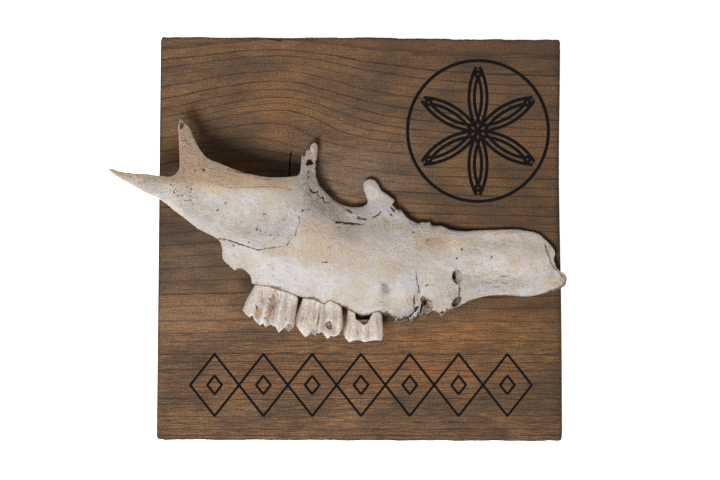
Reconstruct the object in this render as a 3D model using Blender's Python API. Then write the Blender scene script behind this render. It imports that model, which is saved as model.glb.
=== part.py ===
"""Half of a deer's upper jaw, with three cheek teeth, fixed on a square wooden board.

The board lies on its back: X runs to the right and Y up as the board is looked at, and Z points out
of its face. The origin is the middle of the back. Sizes are in millimetres until a mesh is made.
The jaw is three bones that meet at their sutures, and its teeth stand in sockets. Each bone is a
relief: an outline seen from the front, with one height for its outer face and one for its back.
"""

import math

import bpy
import numpy as np
from mathutils import Vector
from mathutils.geometry import delaunay_2d_cdt

MM = 0.001

BOARD_THICK = 20.0
BOARD_CORNERS = ((-101.7, -99.9), (101.1, -100.6), (100.3, 100.4), (-99.6, 101.8))
BOARD_GRID = 14.0
SAW_WAVE = 0.12
SAWN_HALF = 98.0

GAP = 0.3
EDGE_INSET = 0.18
BONE_GRID = 3.5
GRID_CLEAR = 0.62
OUTLINE_STEP = 3.4
EDGE_RING = 1.3
EDGE_ROUND = 3.0
FREE_EDGE_DROP = 1.1
SUTURE_DROP = 0.15
THINNEST = 1.2
BACK_FALL_SHARE = 0.6
JAW_BACK_FALL_SHARE = 0.4

# Where the three bones' edges meet, as the board is looked at.
JAW_CORNER = (-70.5, 0.5)
THREE_BONES = (-28.8, 14.9)
ORBIT_CORNER = (-31.0, 32.0)
NOTCH_CORNER = (1.3, 16.6)

# The cheekbone's free edge: under the temple spur, round its tip, up the frontal process, along the
# eye socket's rim.
CHEEK_EDGE = (
    JAW_CORNER, (-74.0, 2.5), (-78.5, 4.5), (-81.5, 6.5), (-86.1, 10.3), (-90.8, 13.7),
    (-95.3, 17.5), (-100.7, 21.0), (-106.0, 23.3), (-112.2, 26.8), (-118.3, 30.2), (-122.6, 33.0),
    (-124.5, 35.0), (-122.4, 35.3), (-118.6, 33.9), (-112.2, 33.1), (-106.0, 32.8), (-100.3, 32.0),
    (-93.4, 31.5), (-90.4, 33.6), (-89.4, 36.0), (-89.5, 42.0), (-89.9, 49.7), (-90.3, 55.0),
    (-90.2, 58.0), (-89.4, 60.5), (-88.1, 59.7), (-87.1, 58.2), (-86.0, 57.4), (-85.0, 56.2),
    (-84.0, 54.4), (-81.2, 48.5), (-78.9, 44.3), (-75.5, 40.5), (-70.8, 38.6), (-66.3, 36.7),
    (-58.6, 34.0), (-51.0, 32.1), (-43.3, 31.1), (-35.7, 31.4), ORBIT_CORNER,
)
# The tear bone's free edge: up its prong, over the broken comb at the top, down into the notch.
TEAR_EDGE = (
    ORBIT_CORNER, (-29.7, 34.0), (-29.4, 38.0), (-28.9, 42.4), (-27.9, 42.1), (-26.4, 45.3),
    (-24.9, 45.8), (-24.2, 48.0), (-22.6, 48.8), (-21.1, 47.3), (-20.9, 44.0), (-21.9, 38.4),
    (-22.1, 33.6), (-20.4, 27.5), (-16.8, 23.6), (-12.3, 19.5), (-7.8, 17.3), (-3.2, 16.4),
    NOTCH_CORNER,
)
# The jaw's free edge above: round its short prong and along the top of the snout.
JAW_TOP_EDGE = (
    NOTCH_CORNER, (3.7, 18.6), (2.9, 22.1), (1.7, 25.5), (1.6, 28.1), (3.2, 30.1), (5.2, 30.5),
    (7.5, 29.8), (9.2, 27.8), (10.4, 25.3), (14.1, 22.5), (17.3, 20.0), (18.2, 18.0), (20.3, 15.3),
    (23.1, 12.1), (25.0, 10.3), (29.3, 9.0), (34.9, 9.2), (35.9, 7.4), (41.0, 7.0), (45.0, 5.3),
    (51.4, 4.5), (60.5, 5.0), (69.5, 5.3), (78.6, 5.4), (85.0, 4.4), (88.9, 3.3), (91.9, 0.9),
    (95.2, -2.5), (97.5, -6.2), (97.0, -9.5), (98.5, -14.0), (101.8, -16.5), (103.4, -19.0),
    (102.4, -22.7), (99.3, -24.7),
)
# The jaw's lower border: the toothless bar, the broken front sockets, the gum line over the teeth.
JAW_LOWER_EDGE = (
    (99.3, -24.7), (92.0, -26.6), (83.2, -28.4), (74.0, -27.7), (65.0, -27.7), (57.7, -29.5),
    (52.2, -31.8), (46.5, -34.8), (43.3, -36.4), (40.4, -38.7), (36.9, -36.7), (32.8, -38.6),
    (28.6, -38.9), (25.4, -42.1), (22.2, -39.6), (17.8, -41.3), (14.9, -38.9), (11.3, -37.2),
    (8.4, -35.5), (3.9, -37.5), (-0.3, -37.5), (-3.3, -35.7), (-8.4, -33.2), (-14.6, -30.1),
    (-18.1, -31.4), (-22.2, -29.4), (-26.8, -28.9), (-32.9, -27.0), (-36.0, -25.5), (-41.0, -24.3),
    (-44.7, -23.0), (-49.8, -22.4), (-53.6, -21.7),
)
# The knob behind the last tooth, up to the cheekbone.
JAW_KNOB_EDGE = (
    (-53.6, -21.7), (-54.8, -17.7), (-59.0, -14.3), (-61.7, -15.3), (-63.8, -14.2), (-66.1, -12.0),
    (-68.2, -9.2), (-68.3, -5.3), (-68.9, -1.8), JAW_CORNER,
)
CHEEK_SUTURE = (
    JAW_CORNER, (-66.3, 0.3), (-61.7, -1.2), (-56.7, -2.8), (-50.2, -4.8), (-44.9, -3.9),
    (-36.5, -2.7), (-34.5, 0.0), (-32.2, 1.5), (-31.5, 5.3), (-29.9, 8.3), (-30.3, 11.5),
    THREE_BONES,
)
CHEEK_TEAR_SUTURE = (THREE_BONES, (-28.3, 19.5), (-28.6, 24.0), (-29.6, 28.5), ORBIT_CORNER)
TEAR_SUTURE = (
    THREE_BONES, (-25.0, 15.6), (-21.0, 14.1), (-18.0, 13.0), (-14.3, 10.5), (-11.0, 9.0),
    (-5.0, 8.6), (1.5, 8.0), (3.5, 10.5), (2.6, 13.5), NOTCH_CORNER,
)

# How far the outer face of the bone stands above the board's face, at x, y.
FACE_HEIGHTS = {
    "temple tip": (-125.0, 35.0, 45.0),
    "temple spur": (-108.0, 28.0, 46.0),
    "spur root": (-96.0, 24.0, 46.5),
    "cheek lower edge": (-86.0, 12.0, 44.5),
    "cheek lower edge at the jaw": (-71.0, 2.0, 42.0),
    "cheek hollow, back": (-80.0, 18.0, 43.0),
    "cheek hollow": (-58.0, 12.0, 39.5),
    "cheek hollow, front": (-40.0, 8.0, 38.0),
    "brow line, back": (-92.0, 29.0, 47.0),
    "brow line": (-70.0, 27.0, 44.0),
    "brow line, front": (-42.0, 24.5, 37.0),
    "socket rim, back": (-79.0, 43.0, 37.0),
    "socket rim": (-62.0, 35.0, 38.0),
    "socket rim, front": (-40.0, 31.0, 33.0),
    "frontal process": (-87.0, 47.0, 34.5),
    "frontal process tip": (-89.0, 60.0, 25.0),
    "tear prong root": (-26.0, 28.0, 24.0),
    "tear prong": (-26.0, 38.0, 17.0),
    "tear prong tip": (-22.5, 48.0, 11.0),
    "tear band": (-14.0, 14.0, 20.5),
    "tear band edge": (-12.5, 19.5, 10.0),
    "three bones": (-28.8, 14.9, 33.0),
    "notch floor": (-3.0, 11.0, 17.0),
    "notch edge": (-3.5, 16.5, 8.5),
    "jaw prong root": (8.0, 17.0, 11.0),
    "jaw prong tip": (5.0, 30.0, 6.5),
    "face above the crest": (-20.0, 4.0, 33.5),
    "face above the crest, front": (5.0, 4.0, 27.0),
    "crest, back": (-52.0, -6.0, 41.5),
    "crest": (-30.0, -8.0, 38.5),
    "crest, front": (-8.0, -10.0, 34.5),
    "face knob": (8.0, -14.0, 31.0),
    "knob": (-64.0, -8.0, 36.0),
    "knob edge": (-66.0, -13.0, 31.0),
    "back tooth": (-46.0, -19.0, 36.0),
    "middle tooth": (-20.0, -27.0, 33.5),
    "front tooth": (2.0, -35.0, 29.0),
    "lost tooth": (22.0, -38.0, 23.5),
    "lost tooth, front": (38.0, -35.0, 16.0),
    "over the lost tooth": (22.0, -22.0, 26.5),
    "nerve hole": (45.0, -16.0, 18.5),
    "snout root": (45.0, -3.0, 15.0),
    "top edge at the prong": (20.0, 13.0, 10.0),
    "top edge": (30.0, 7.0, 8.5),
    "snout top edge": (60.0, 4.0, 6.5),
    "snout top edge, front": (86.0, 3.0, 5.5),
    "snout": (72.0, -8.0, 14.5),
    "snout lower edge": (70.0, -27.0, 9.0),
    "snout lower edge, front": (95.0, -24.0, 8.0),
    "snout front": (94.0, -10.0, 10.5),
    "snout tip": (103.0, -20.0, 8.0),
}
# Swells of the outer face: a run of points, how high the swell rises, and how wide it is.
RIDGES = (
    (((-96.0, 28.0), (-70.0, 27.5), (-45.0, 25.5)), 1.0, 4.0),
    (((-105.0, 24.5), (-86.0, 12.5), (-70.0, 3.0), (-52.0, -5.5)), 1.2, 4.0),
    (((-50.0, -18.0), (-46.0, -9.0)), 0.8, 4.5),
    (((-27.0, -26.0), (-25.0, -15.0)), 0.8, 4.5),
    (((-14.0, -27.0), (-13.0, -17.0)), 0.8, 4.0),
    (((-5.0, -33.0), (-4.0, -22.0)), 0.8, 4.0),
    (((9.0, -33.0), (9.0, -22.0)), 0.8, 4.0),
)

WALL_THICK = 3.6
CHEEK_THICK = 5.0
SOCKET_RIM_THICK = 8.0
SOCKET_RIM_REACH = 7.0
TEAR_THICK = 3.2
TIP_SHARE = 0.45
TIP_REACH = 5.0

# The palate's inner edge, which rests on the board, and how high the bone's inner lip stands.
PALATE_FOOT = (
    (94.0, -19.0), (75.0, -21.0), (55.0, -22.5), (35.0, -25.0), (15.0, -25.5), (-5.0, -24.0),
    (-25.0, -19.0), (-45.0, -13.0), (-55.0, -10.0),
)
FOOT_HALF = 1.9
FOOT_STEP = 1.1
NOSE_WALL = 7.5
NOSE_REACH = 15.0
PALATE_ARCH = 2.4
PALATE_END = -50.0
PALATE_END_REACH = 8.0
LIP_AT = (-56.0, -20.0, 5.0, 30.0, 50.0, 75.0, 100.0)
LIP_HEIGHT = (13.5, 13.0, 10.0, 6.5, 4.5, 3.5, 3.0)

# Each tooth's two edges as the board is looked at, at rising distances from the neck: below zero is
# its root, and the last but one is where its cusps start to part.
TEETH = {
    "back_molar": dict(
        sides=(
            (-9.0, (-48.0, -14.5), (-33.0, -20.5)),
            (0.0, (-52.0, -22.5), (-31.0, -29.5)),
            (6.5, (-56.0, -29.4), (-32.0, -35.5)),
            (13.6, (-58.2, -34.9), (-32.9, -43.2)),
            (19.0, (-58.9, -40.2), (-33.4, -48.4)),
        ),
        cheek_edge=((0, 0), (0.14, 2.4), (0.2, 0.8), (0.36, 4.6), (0.41, 3.0), (0.47, 4.7), (0.55, 2.6),
                    (0.65, 2.6), (0.73, 5.3), (0.83, 1.5), (0.92, 2.6), (1, 0.3)),
        tongue_edge=((0, -3.0), (0.2, 1.0), (0.45, -2.0), (0.68, 2.5), (0.79, 1.5), (0.91, 3.4), (1, -1.0)),
        middle=24.6, width=17.0,
    ),
    "middle_molar": dict(
        sides=(
            (-9.0, (-26.5, -22.5), (-11.0, -25.5)),
            (0.0, (-28.5, -30.5), (-8.9, -34.7)),
            (6.0, (-31.0, -36.8), (-8.5, -40.0)),
            (10.8, (-31.9, -41.9), (-8.9, -44.6)),
            (16.5, (-32.3, -47.6), (-9.8, -50.3)),
        ),
        cheek_edge=((0, 0), (0.07, 2.0), (0.14, 3.8), (0.21, 5.5), (0.3, 4.6), (0.37, 2.6), (0.45, 2.8),
                    (0.53, 3.0), (0.58, 2.0), (0.6, 2.8), (0.7, 5.1), (0.79, 3.5), (0.87, 3.7), (0.95, 2.2),
                    (1, 0)),
        tongue_edge=((0, -3.0), (0.25, 2.0), (0.37, 3.8), (0.45, 4.5), (0.55, 0.0), (0.75, 3.0), (1, -3.0)),
        middle=22.8, width=17.0,
    ),
    "front_molar": dict(
        sides=(
            (-8.0, (-4.5, -27.7), (9.3, -27.8)),
            (0.0, (-6.1, -35.4), (10.7, -35.8)),
            (5.5, (-6.6, -40.9), (11.3, -41.3)),
            (11.7, (-8.4, -46.6), (11.5, -48.0)),
            (16.0, (-8.6, -50.9), (11.6, -52.3)),
        ),
        cheek_edge=((0, 0), (0.07, 2.3), (0.16, 4.1), (0.31, 2.7), (0.42, 2.6), (0.54, 3.4), (0.7, 2.5),
                    (0.83, 2.0), (0.95, 2.0), (1, 0)),
        tongue_edge=((0, -3.0), (0.25, 1.5), (0.5, -1.5), (0.75, 1.5), (1, -3.0)),
        middle=18.8, width=16.4,
    ),
}
TOOTH_GRID = 2.5
NECK_WIDTH_SHARE = 0.86
SOCKET_CLEAR = 0.35
PIT_DEPTH = 3.0
BITE_START = 0.28
BITE_WIDTH = 0.56
PIT_HALF_WIDTH = 0.42
TONGUE_EDGE_DROP = 1.5
TONGUE_EDGE_AT = -0.3
TONGUE_EDGE_REACH = 0.2
TOOTH_ROWS = 5
# A cheek tooth's section, in shares of its length and width: the pleated cheek side, then the two
# round lobes on the tongue side.
TOOTH_SECTION = (
    (0.50, 0.38), (0.40, 0.37), (0.25, 0.44), (0.12, 0.36), (0.00, 0.50), (-0.12, 0.36),
    (-0.25, 0.44), (-0.38, 0.37), (-0.50, 0.40), (-0.48, 0.05), (-0.42, -0.34), (-0.25, -0.50),
    (-0.08, -0.42), (0.0, -0.32), (0.08, -0.42), (0.25, -0.50), (0.42, -0.34), (0.48, 0.05),
)
# The arch between the front tooth's two cheek-side roots, and how deep it goes.
ROOT_FORK = (
    (-2.4, -25.0), (-2.6, -35.0), (-2.2, -38.5), (-1.4, -40.8), (0.3, -41.9), (2.8, -41.8), (4.6, -40.4),
    (5.4, -38.3), (7.0, -35.8), (7.2, -25.0),
)
FORK_FLOOR = 16.5
FORK_TOP = 40.0

# Holes in the bones: which bone, the middle, the half width and half height, the lean of the oval,
# and the height of its floor over the board. The first goes right through.
HOLES = {
    "tear_duct_hole": ("tear_bone", (-25.3, 38.2), (1.4, 1.2), 20.0, 4.0),
    "nerve_hole": ("upper_jaw", (47.9, -18.8), (1.6, 3.6), 0.0, 12.5),
    "lost_root_hole": ("upper_jaw", (33.4, -32.0), (2.4, 4.2), -8.0, 9.0),
    "small_root_hole": ("upper_jaw", (48.2, -30.2), (1.6, 2.0), -20.0, 8.5),
}
HOLE_TOP = 32.0
HOLE_SIDES = 15

COLOURS = {
    "wood": (0.30, 0.20, 0.13, 1.0),
    "bone": (0.78, 0.71, 0.61, 1.0),
    "tooth": (0.82, 0.76, 0.66, 1.0),
}
ROUGHNESS = {"wood": 0.75, "bone": 0.6, "tooth": 0.35}


def smooth_path(points, step, closed=False):
    """Points along a Catmull-Rom curve that passes through every given point."""
    given = [np.array(p, float) for p in points]
    count = len(given)
    made = []
    for i in range(count if closed else count - 1):
        if closed:
            p0, p1, p2, p3 = (given[(i + k) % count] for k in (-1, 0, 1, 2))
        else:
            p1, p2 = given[i], given[i + 1]
            p0 = given[i - 1] if i > 0 else 2 * p1 - p2
            p3 = given[i + 2] if i + 2 < count else 2 * p2 - p1
        span = np.linalg.norm(p2 - p1)
        pieces = max(1, math.ceil(span / step - 0.25))
        k0, k3 = max(np.linalg.norm(p1 - p0), 1e-9), max(np.linalg.norm(p3 - p2), 1e-9)
        out_of = (p2 - p0) / (span + k0) * span
        into = (p3 - p1) / (span + k3) * span
        for t in (n / pieces for n in range(pieces)):
            a, b = 2 * t**3 - 3 * t**2 + 1, t**3 - 2 * t**2 + t
            c, d = -2 * t**3 + 3 * t**2, t**3 - t**2
            made.append(a * p1 + b * out_of + c * p2 + d * into)
    if not closed:
        made.append(given[-1])
    return np.array(made)


def distance_to(points, path, closed=False):
    """How far each point is from a run of straight pieces."""
    ends = np.vstack([path, path[:1]]) if closed else path
    start, along = ends[:-1], ends[1:] - ends[:-1]
    offset = points[:, None, :] - start[None]
    share = (offset * along).sum(2) / np.maximum((along**2).sum(1), 1e-12)
    away = offset - np.clip(share, 0, 1)[..., None] * along
    return np.sqrt((away**2).sum(2)).min(1)


def smooth_step(value):
    t = np.clip(value, 0, 1)
    return t * t * (3 - 2 * t)


def inset(outline, distance):
    """A closed outline that turns left, moved inwards by a distance."""
    ahead = np.roll(outline, -1, 0) - outline
    ahead /= np.linalg.norm(ahead, axis=1)[:, None]
    behind = np.roll(ahead, 1, 0)
    inward = np.stack([-(ahead + behind)[:, 1], (ahead + behind)[:, 0]], 1)
    inward /= np.maximum(np.linalg.norm(inward, axis=1), 0.5)[:, None]
    return outline + inward * distance


def turning_left(outline):
    x, y = outline.T
    area = (x * np.roll(y, -1) - np.roll(x, -1) * y).sum()
    return outline if area > 0 else outline[::-1]


def inside_grid(outline, spacing):
    """Points of a triangular grid over the outline's box."""
    low, high = outline.min(0), outline.max(0)
    rows = np.arange(low[1], high[1], spacing * math.sqrt(0.75))
    columns = np.arange(low[0], high[0], spacing)
    grid = [(x + (n % 2) * spacing / 2, y) for n, y in enumerate(rows) for x in columns]
    return np.array(grid)


def within(points, outline):
    """Which points lie inside a closed outline."""
    x, y = points[:, :1], points[:, 1:]
    a, b = outline, np.roll(outline, -1, 0)
    crosses = (a[:, 1] > y) != (b[:, 1] > y)
    rise = np.where(b[:, 1] == a[:, 1], 1e-12, b[:, 1] - a[:, 1])
    at = a[:, 0] + (y - a[:, 1]) / rise * (b[:, 0] - a[:, 0])
    return (crosses & (x < at)).sum(1) % 2 == 1


def filled(outline, extra, spacing, clear):
    """Triangles over a closed outline, with the extra points and a grid inside it."""
    grid = inside_grid(outline, spacing)
    if len(extra):
        nearest = np.sqrt(((grid[:, None] - extra[None]) ** 2).sum(2)).min(1)
        grid = np.vstack([extra, grid[nearest > GRID_CLEAR * spacing]])
    keep = within(grid, outline)
    keep[keep] = distance_to(grid[keep], outline, closed=True) > clear
    points = np.vstack([outline, grid[keep]])
    ring = list(range(len(outline)))
    vectors = [Vector(p) for p in points.tolist()]
    made = delaunay_2d_cdt(vectors, [], [ring], 1, 1e-6)
    return np.array([tuple(v) for v in made[0]]), [tuple(f) for f in made[2]], len(outline)


def closed_relief(flat, faces, rim, front, back, rows=1):
    """Points and faces of the solid between two height fields over one flat net."""
    count = len(flat)
    upper = np.column_stack([flat, front])
    lower = np.column_stack([flat, back])
    levels = [upper[:rim] + (lower[:rim] - upper[:rim]) * n / rows for n in range(1, rows)]
    points = np.vstack([upper, lower, *levels])
    steps = [list(range(rim))]
    steps += [list(range(2 * count + n * rim, 2 * count + (n + 1) * rim)) for n in range(rows - 1)]
    steps.append(list(range(count, count + rim)))
    made = faces + [tuple(count + i for i in reversed(f)) for f in faces]
    for above, below in zip(steps, steps[1:]):
        for i in range(rim):
            j = (i + 1) % rim
            made.append((above[i], below[i], below[j], above[j]))
    return points, made


def add_object(name, points, faces, material):
    mesh = bpy.data.meshes.new(name)
    mesh.from_pydata((points * MM).tolist(), [], faces)
    mesh.update()
    mesh.shade_smooth()
    mesh.set_sharp_from_angle(angle=math.radians(40))
    made = bpy.data.objects.new(name, mesh)
    made.data.materials.append(material)
    bpy.context.scene.collection.objects.link(made)
    return made


def make_material(name, roughness):
    material = bpy.data.materials.new(name)
    material.use_nodes = True
    shader = material.node_tree.nodes["Principled BSDF"]
    shader.inputs["Base Color"].default_value = COLOURS[name]
    shader.inputs["Roughness"].default_value = roughness
    shader.inputs["Metallic"].default_value = 0.0
    return material


class FaceSurface:
    """The smooth outer face that all three bones share: a thin plate through the stated heights."""

    def __init__(self):
        posts = np.array(list(FACE_HEIGHTS.values()))
        self.places = posts[:, :2]
        count = len(posts)
        bend = self.bending(self.places)
        flat = np.column_stack([np.ones(count), self.places])
        left = np.block([[bend, flat], [flat.T, np.zeros((3, 3))]])
        right = np.concatenate([posts[:, 2], np.zeros(3)])
        self.weights = np.linalg.solve(left, right)

    def bending(self, points):
        squared = ((points[:, None] - self.places[None]) ** 2).sum(2)
        return 0.5 * squared * np.log(np.maximum(squared, 1e-9))

    def __call__(self, points):
        flat = np.column_stack([np.ones(len(points)), points])
        height = np.hstack([self.bending(points), flat]) @ self.weights
        for path, rise, width in RIDGES:
            away = distance_to(points, np.array(path))
            height = height + rise * np.exp(-((away / width) ** 2))
        return height


def edge_fall(points, free, sutures):
    """How much a face falls away near its free edges and, a little, near its sutures."""
    near_free = 1 - np.minimum(distance_to(points, free) / EDGE_ROUND, 1)
    near_suture = 1 - np.minimum(distance_to(points, sutures) / EDGE_ROUND, 1)
    return np.maximum(FREE_EDGE_DROP * near_free**2, SUTURE_DROP * near_suture**2)


def bone_net(outline, extra=()):
    """The flat net of a bone, drawn in by half the gap that parts it from its neighbours."""
    outline = inset(turning_left(outline), EDGE_INSET)
    ring = inset(outline, EDGE_RING)
    ring = ring[distance_to(ring, outline, closed=True) > 0.8 * EDGE_RING]
    extra = np.vstack([ring, extra]) if len(extra) else ring
    return filled(outline, extra, BONE_GRID, 0.75 * EDGE_RING)


def tip_share(points, outline):
    """A bone's share of its full thickness, which is least at narrow tips."""
    inner = distance_to(points, outline, closed=True)
    return TIP_SHARE + (1 - TIP_SHARE) * np.minimum(inner / TIP_REACH, 1)


def add_bone(name, flat, faces, rim, front, back, material):
    """A bone, whose heights are over the board's face."""
    points, faces = closed_relief(flat, faces, rim, front + BOARD_THICK, back + BOARD_THICK)
    return add_object(name, points, faces, material)


def cheek_bone(face, paths, material):
    outline = np.vstack([paths["cheek"][:-1], paths["cheek_tear"][::-1][:-1], paths["cheek_jaw"][::-1][:-1]])
    flat, faces, rim = bone_net(outline)
    sutures = np.vstack([paths["cheek_jaw"], paths["cheek_tear"]])
    fall = edge_fall(flat, paths["cheek"], sutures)
    front = face(flat) - fall
    socket_rim = paths["cheek"][len(paths["cheek"]) // 2 :]
    rim_share = smooth_step(1 - distance_to(flat, socket_rim) / SOCKET_RIM_REACH)
    thick = CHEEK_THICK + (SOCKET_RIM_THICK - CHEEK_THICK) * rim_share
    back = face(flat) - thick * tip_share(flat, outline) + fall * BACK_FALL_SHARE
    return add_bone("cheekbone", flat, faces, rim, front, np.minimum(back, front - THINNEST), material)


def tear_bone(face, paths, material):
    outline = np.vstack([paths["tear"][:-1], paths["tear_jaw"][::-1][:-1], paths["cheek_tear"][:-1]])
    flat, faces, rim = bone_net(outline)
    sutures = np.vstack([paths["cheek_tear"], paths["tear_jaw"]])
    fall = edge_fall(flat, paths["tear"], sutures)
    front = face(flat) - fall
    back = face(flat) - TEAR_THICK * tip_share(flat, outline) + fall * BACK_FALL_SHARE
    return add_bone("tear_bone", flat, faces, rim, front, np.minimum(back, front - THINNEST), material)


def palate_sides(points, foot):
    """Signed distance from the palate's foot: above zero on the nose side."""
    away = distance_to(points, foot)
    foot_y = np.interp(points[:, 0], foot[::-1, 0], foot[::-1, 1])
    return np.where(points[:, 1] >= foot_y, away, -away)


def jaw_back_height(points, front, foot, lower):
    """The back of the jaw: the palate, its foot on the board, and the hollow of the nose above it."""
    side = palate_sides(points, foot)
    lip = np.interp(points[:, 0], LIP_AT, LIP_HEIGHT)
    to_gum = distance_to(points, lower)
    past_foot = np.maximum(np.abs(side) - FOOT_HALF, 0)
    along = past_foot / np.maximum(past_foot + to_gum - FOOT_STEP, 1e-6)
    palate = GAP + (lip - GAP) * (1 - (1 - np.clip(along, 0, 1)) ** PALATE_ARCH)
    wall = front - WALL_THICK
    inner = np.minimum(NOSE_WALL, wall)
    nose = inner + (wall - inner) * smooth_step((past_foot - FOOT_STEP) / NOSE_REACH)
    nose = GAP + (nose - GAP) * smooth_step(past_foot / FOOT_STEP)
    back = np.where(side < 0, palate, nose)
    behind = smooth_step((PALATE_END - points[:, 0]) / PALATE_END_REACH)
    return back + (wall - back) * behind


def upper_jaw(face, paths, material):
    lower = np.vstack([paths["jaw_lower"], paths["jaw_knob"][1:]])
    outline = np.vstack([paths["jaw_top"][:-1], lower[:-1], paths["cheek_jaw"][:-1], paths["tear_jaw"][:-1]])
    foot = smooth_path(PALATE_FOOT, BONE_GRID)
    turned = np.gradient(foot, axis=0)
    turned = np.stack([-turned[:, 1], turned[:, 0]], 1) / np.linalg.norm(turned, axis=1)[:, None]
    offsets = (-FOOT_HALF - FOOT_STEP, -FOOT_HALF, FOOT_HALF, FOOT_HALF + FOOT_STEP)
    guides = np.vstack([foot + turned * offset for offset in offsets])
    flat, faces, rim = bone_net(outline, guides)
    free = np.vstack([paths["jaw_top"], lower])
    sutures = np.vstack([paths["cheek_jaw"], paths["tear_jaw"]])
    fall = edge_fall(flat, free, sutures)
    full = face(flat)
    back = jaw_back_height(flat, full, foot, paths["jaw_lower"]) + fall * JAW_BACK_FALL_SHARE
    front = full - fall
    back = np.maximum(np.minimum(back, front - THINNEST), GAP)
    return add_bone("upper_jaw", flat, faces, rim, front, back, material)


def tooth_points(size, grow=0.0):
    """A cheek tooth or, grown, its socket: a pleated column with pitted crescents on its biting end."""
    levels = [level for level, _, _ in size["sides"]]
    left, right = (np.array([row[n] for row in size["sides"]], float) for n in (1, 2))
    length = np.linalg.norm(right[1] - left[1])
    section = np.array(TOOTH_SECTION) * (length, size["width"])
    section = turning_left(smooth_path(section, TOOTH_GRID, closed=True))
    section = inset(section, -grow)
    ring = inset(section, 0.35 * TOOTH_GRID)
    flat, faces, rim = filled(section, ring, TOOTH_GRID, 0.25 * TOOTH_GRID)
    along, across = flat[:, 0] / length + 0.5, flat[:, 1] / size["width"]
    cheek = levels[-2] + np.interp(along, *zip(*size["cheek_edge"]))
    tongue = levels[-2] + np.interp(along, *zip(*size["tongue_edge"]))
    lobe = np.abs(((along * 2) % 1) - 0.5) * 2
    pit = np.minimum(cheek, tongue) - PIT_DEPTH * (1 - lobe**2)
    away = np.clip((BITE_START - across) / BITE_WIDTH, 0, 1)
    biting = cheek + (tongue - cheek) * away
    biting += (pit - biting) * smooth_step(1 - np.abs(away - 0.5) / PIT_HALF_WIDTH)
    biting -= TONGUE_EDGE_DROP * smooth_step((TONGUE_EDGE_AT - across) / TONGUE_EDGE_REACH)
    root = np.full(len(flat), levels[0] - grow)
    points, faces = closed_relief(flat, faces, rim, biting, root, TOOTH_ROWS)
    along, height = points[:, 0] / length + 0.5, points[:, 2]
    level = np.clip(height, levels[0], None)
    start, end = (
        np.column_stack([np.interp(level, levels, side[:, k]) for k in (0, 1)]) for side in (left, right)
    )
    place = start + (end - start) * along[:, None]
    place[:, 1] += (level - height)
    share = NECK_WIDTH_SHARE + (1 - NECK_WIDTH_SHARE) * smooth_step(height / (0.7 * levels[-2]))
    return np.column_stack([place, size["middle"] + points[:, 1] * share]), faces


def fork_roots(tooth):
    """The front tooth's roots part under its crown."""
    outline = turning_left(smooth_path(ROOT_FORK, TOOTH_GRID))
    flat, faces, rim = filled(outline, (), TOOTH_GRID, GAP)
    high, low = np.full(len(flat), FORK_TOP), np.full(len(flat), FORK_FLOOR)
    points, faces = closed_relief(flat, faces, rim, high, low)
    points[:, 2] += BOARD_THICK
    cut_away(tooth, "root_fork", points, faces)


def cut_holes(bones):
    """The nerve's and tears' openings, and what is left of two roots' sockets."""
    around = np.linspace(0, math.tau, HOLE_SIDES, endpoint=False)
    for name, (bone, middle, half, lean, floor) in HOLES.items():
        turn = math.radians(lean)
        across = np.array((math.cos(turn), math.sin(turn)))
        up = np.array((-math.sin(turn), math.cos(turn)))
        outline = [middle + across * half[0] * math.cos(a) + up * half[1] * math.sin(a) for a in around]
        flat, faces, rim = filled(np.array(outline), (), HOLE_TOP, GAP)
        high, low = np.full(len(flat), HOLE_TOP), np.full(len(flat), floor)
        points, faces = closed_relief(flat, faces, rim, high + BOARD_THICK, low + BOARD_THICK)
        cut_away(bones[bone], name, points, faces)


def cut_away(solid, name, points, faces):
    cutter = add_object(name, points, faces, solid.data.materials[0])
    cutter.hide_render = True
    cutter.display_type = "WIRE"
    cut = solid.modifiers.new(name, "BOOLEAN")
    cut.operation = "DIFFERENCE"
    cut.solver = "EXACT"
    cut.object = cutter


def board(material):
    """The plank, with its two sawn ends a little wavy."""
    corners = [np.array(c) for c in BOARD_CORNERS]
    outline = []
    for start, end in zip(corners, corners[1:] + corners[:1]):
        pieces = round(np.linalg.norm(end - start) / BOARD_GRID)
        outline += [start + (end - start) * n / pieces for n in range(pieces)]
    outline = np.array(outline)
    sawn = np.abs(outline[:, 0]) < SAWN_HALF
    wave = np.sin(outline[:, 0] * 0.21) + 0.6 * np.sin(outline[:, 0] * 0.47 + 1.0)
    outline[:, 1] += np.where(sawn, SAW_WAVE * wave, 0)
    flat, faces, rim = filled(outline, (), BOARD_GRID, 0.5 * BOARD_GRID)
    top, bottom = np.full(len(flat), BOARD_THICK), np.zeros(len(flat))
    return add_object("board", *closed_relief(flat, faces, rim, top, bottom), material)


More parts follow.
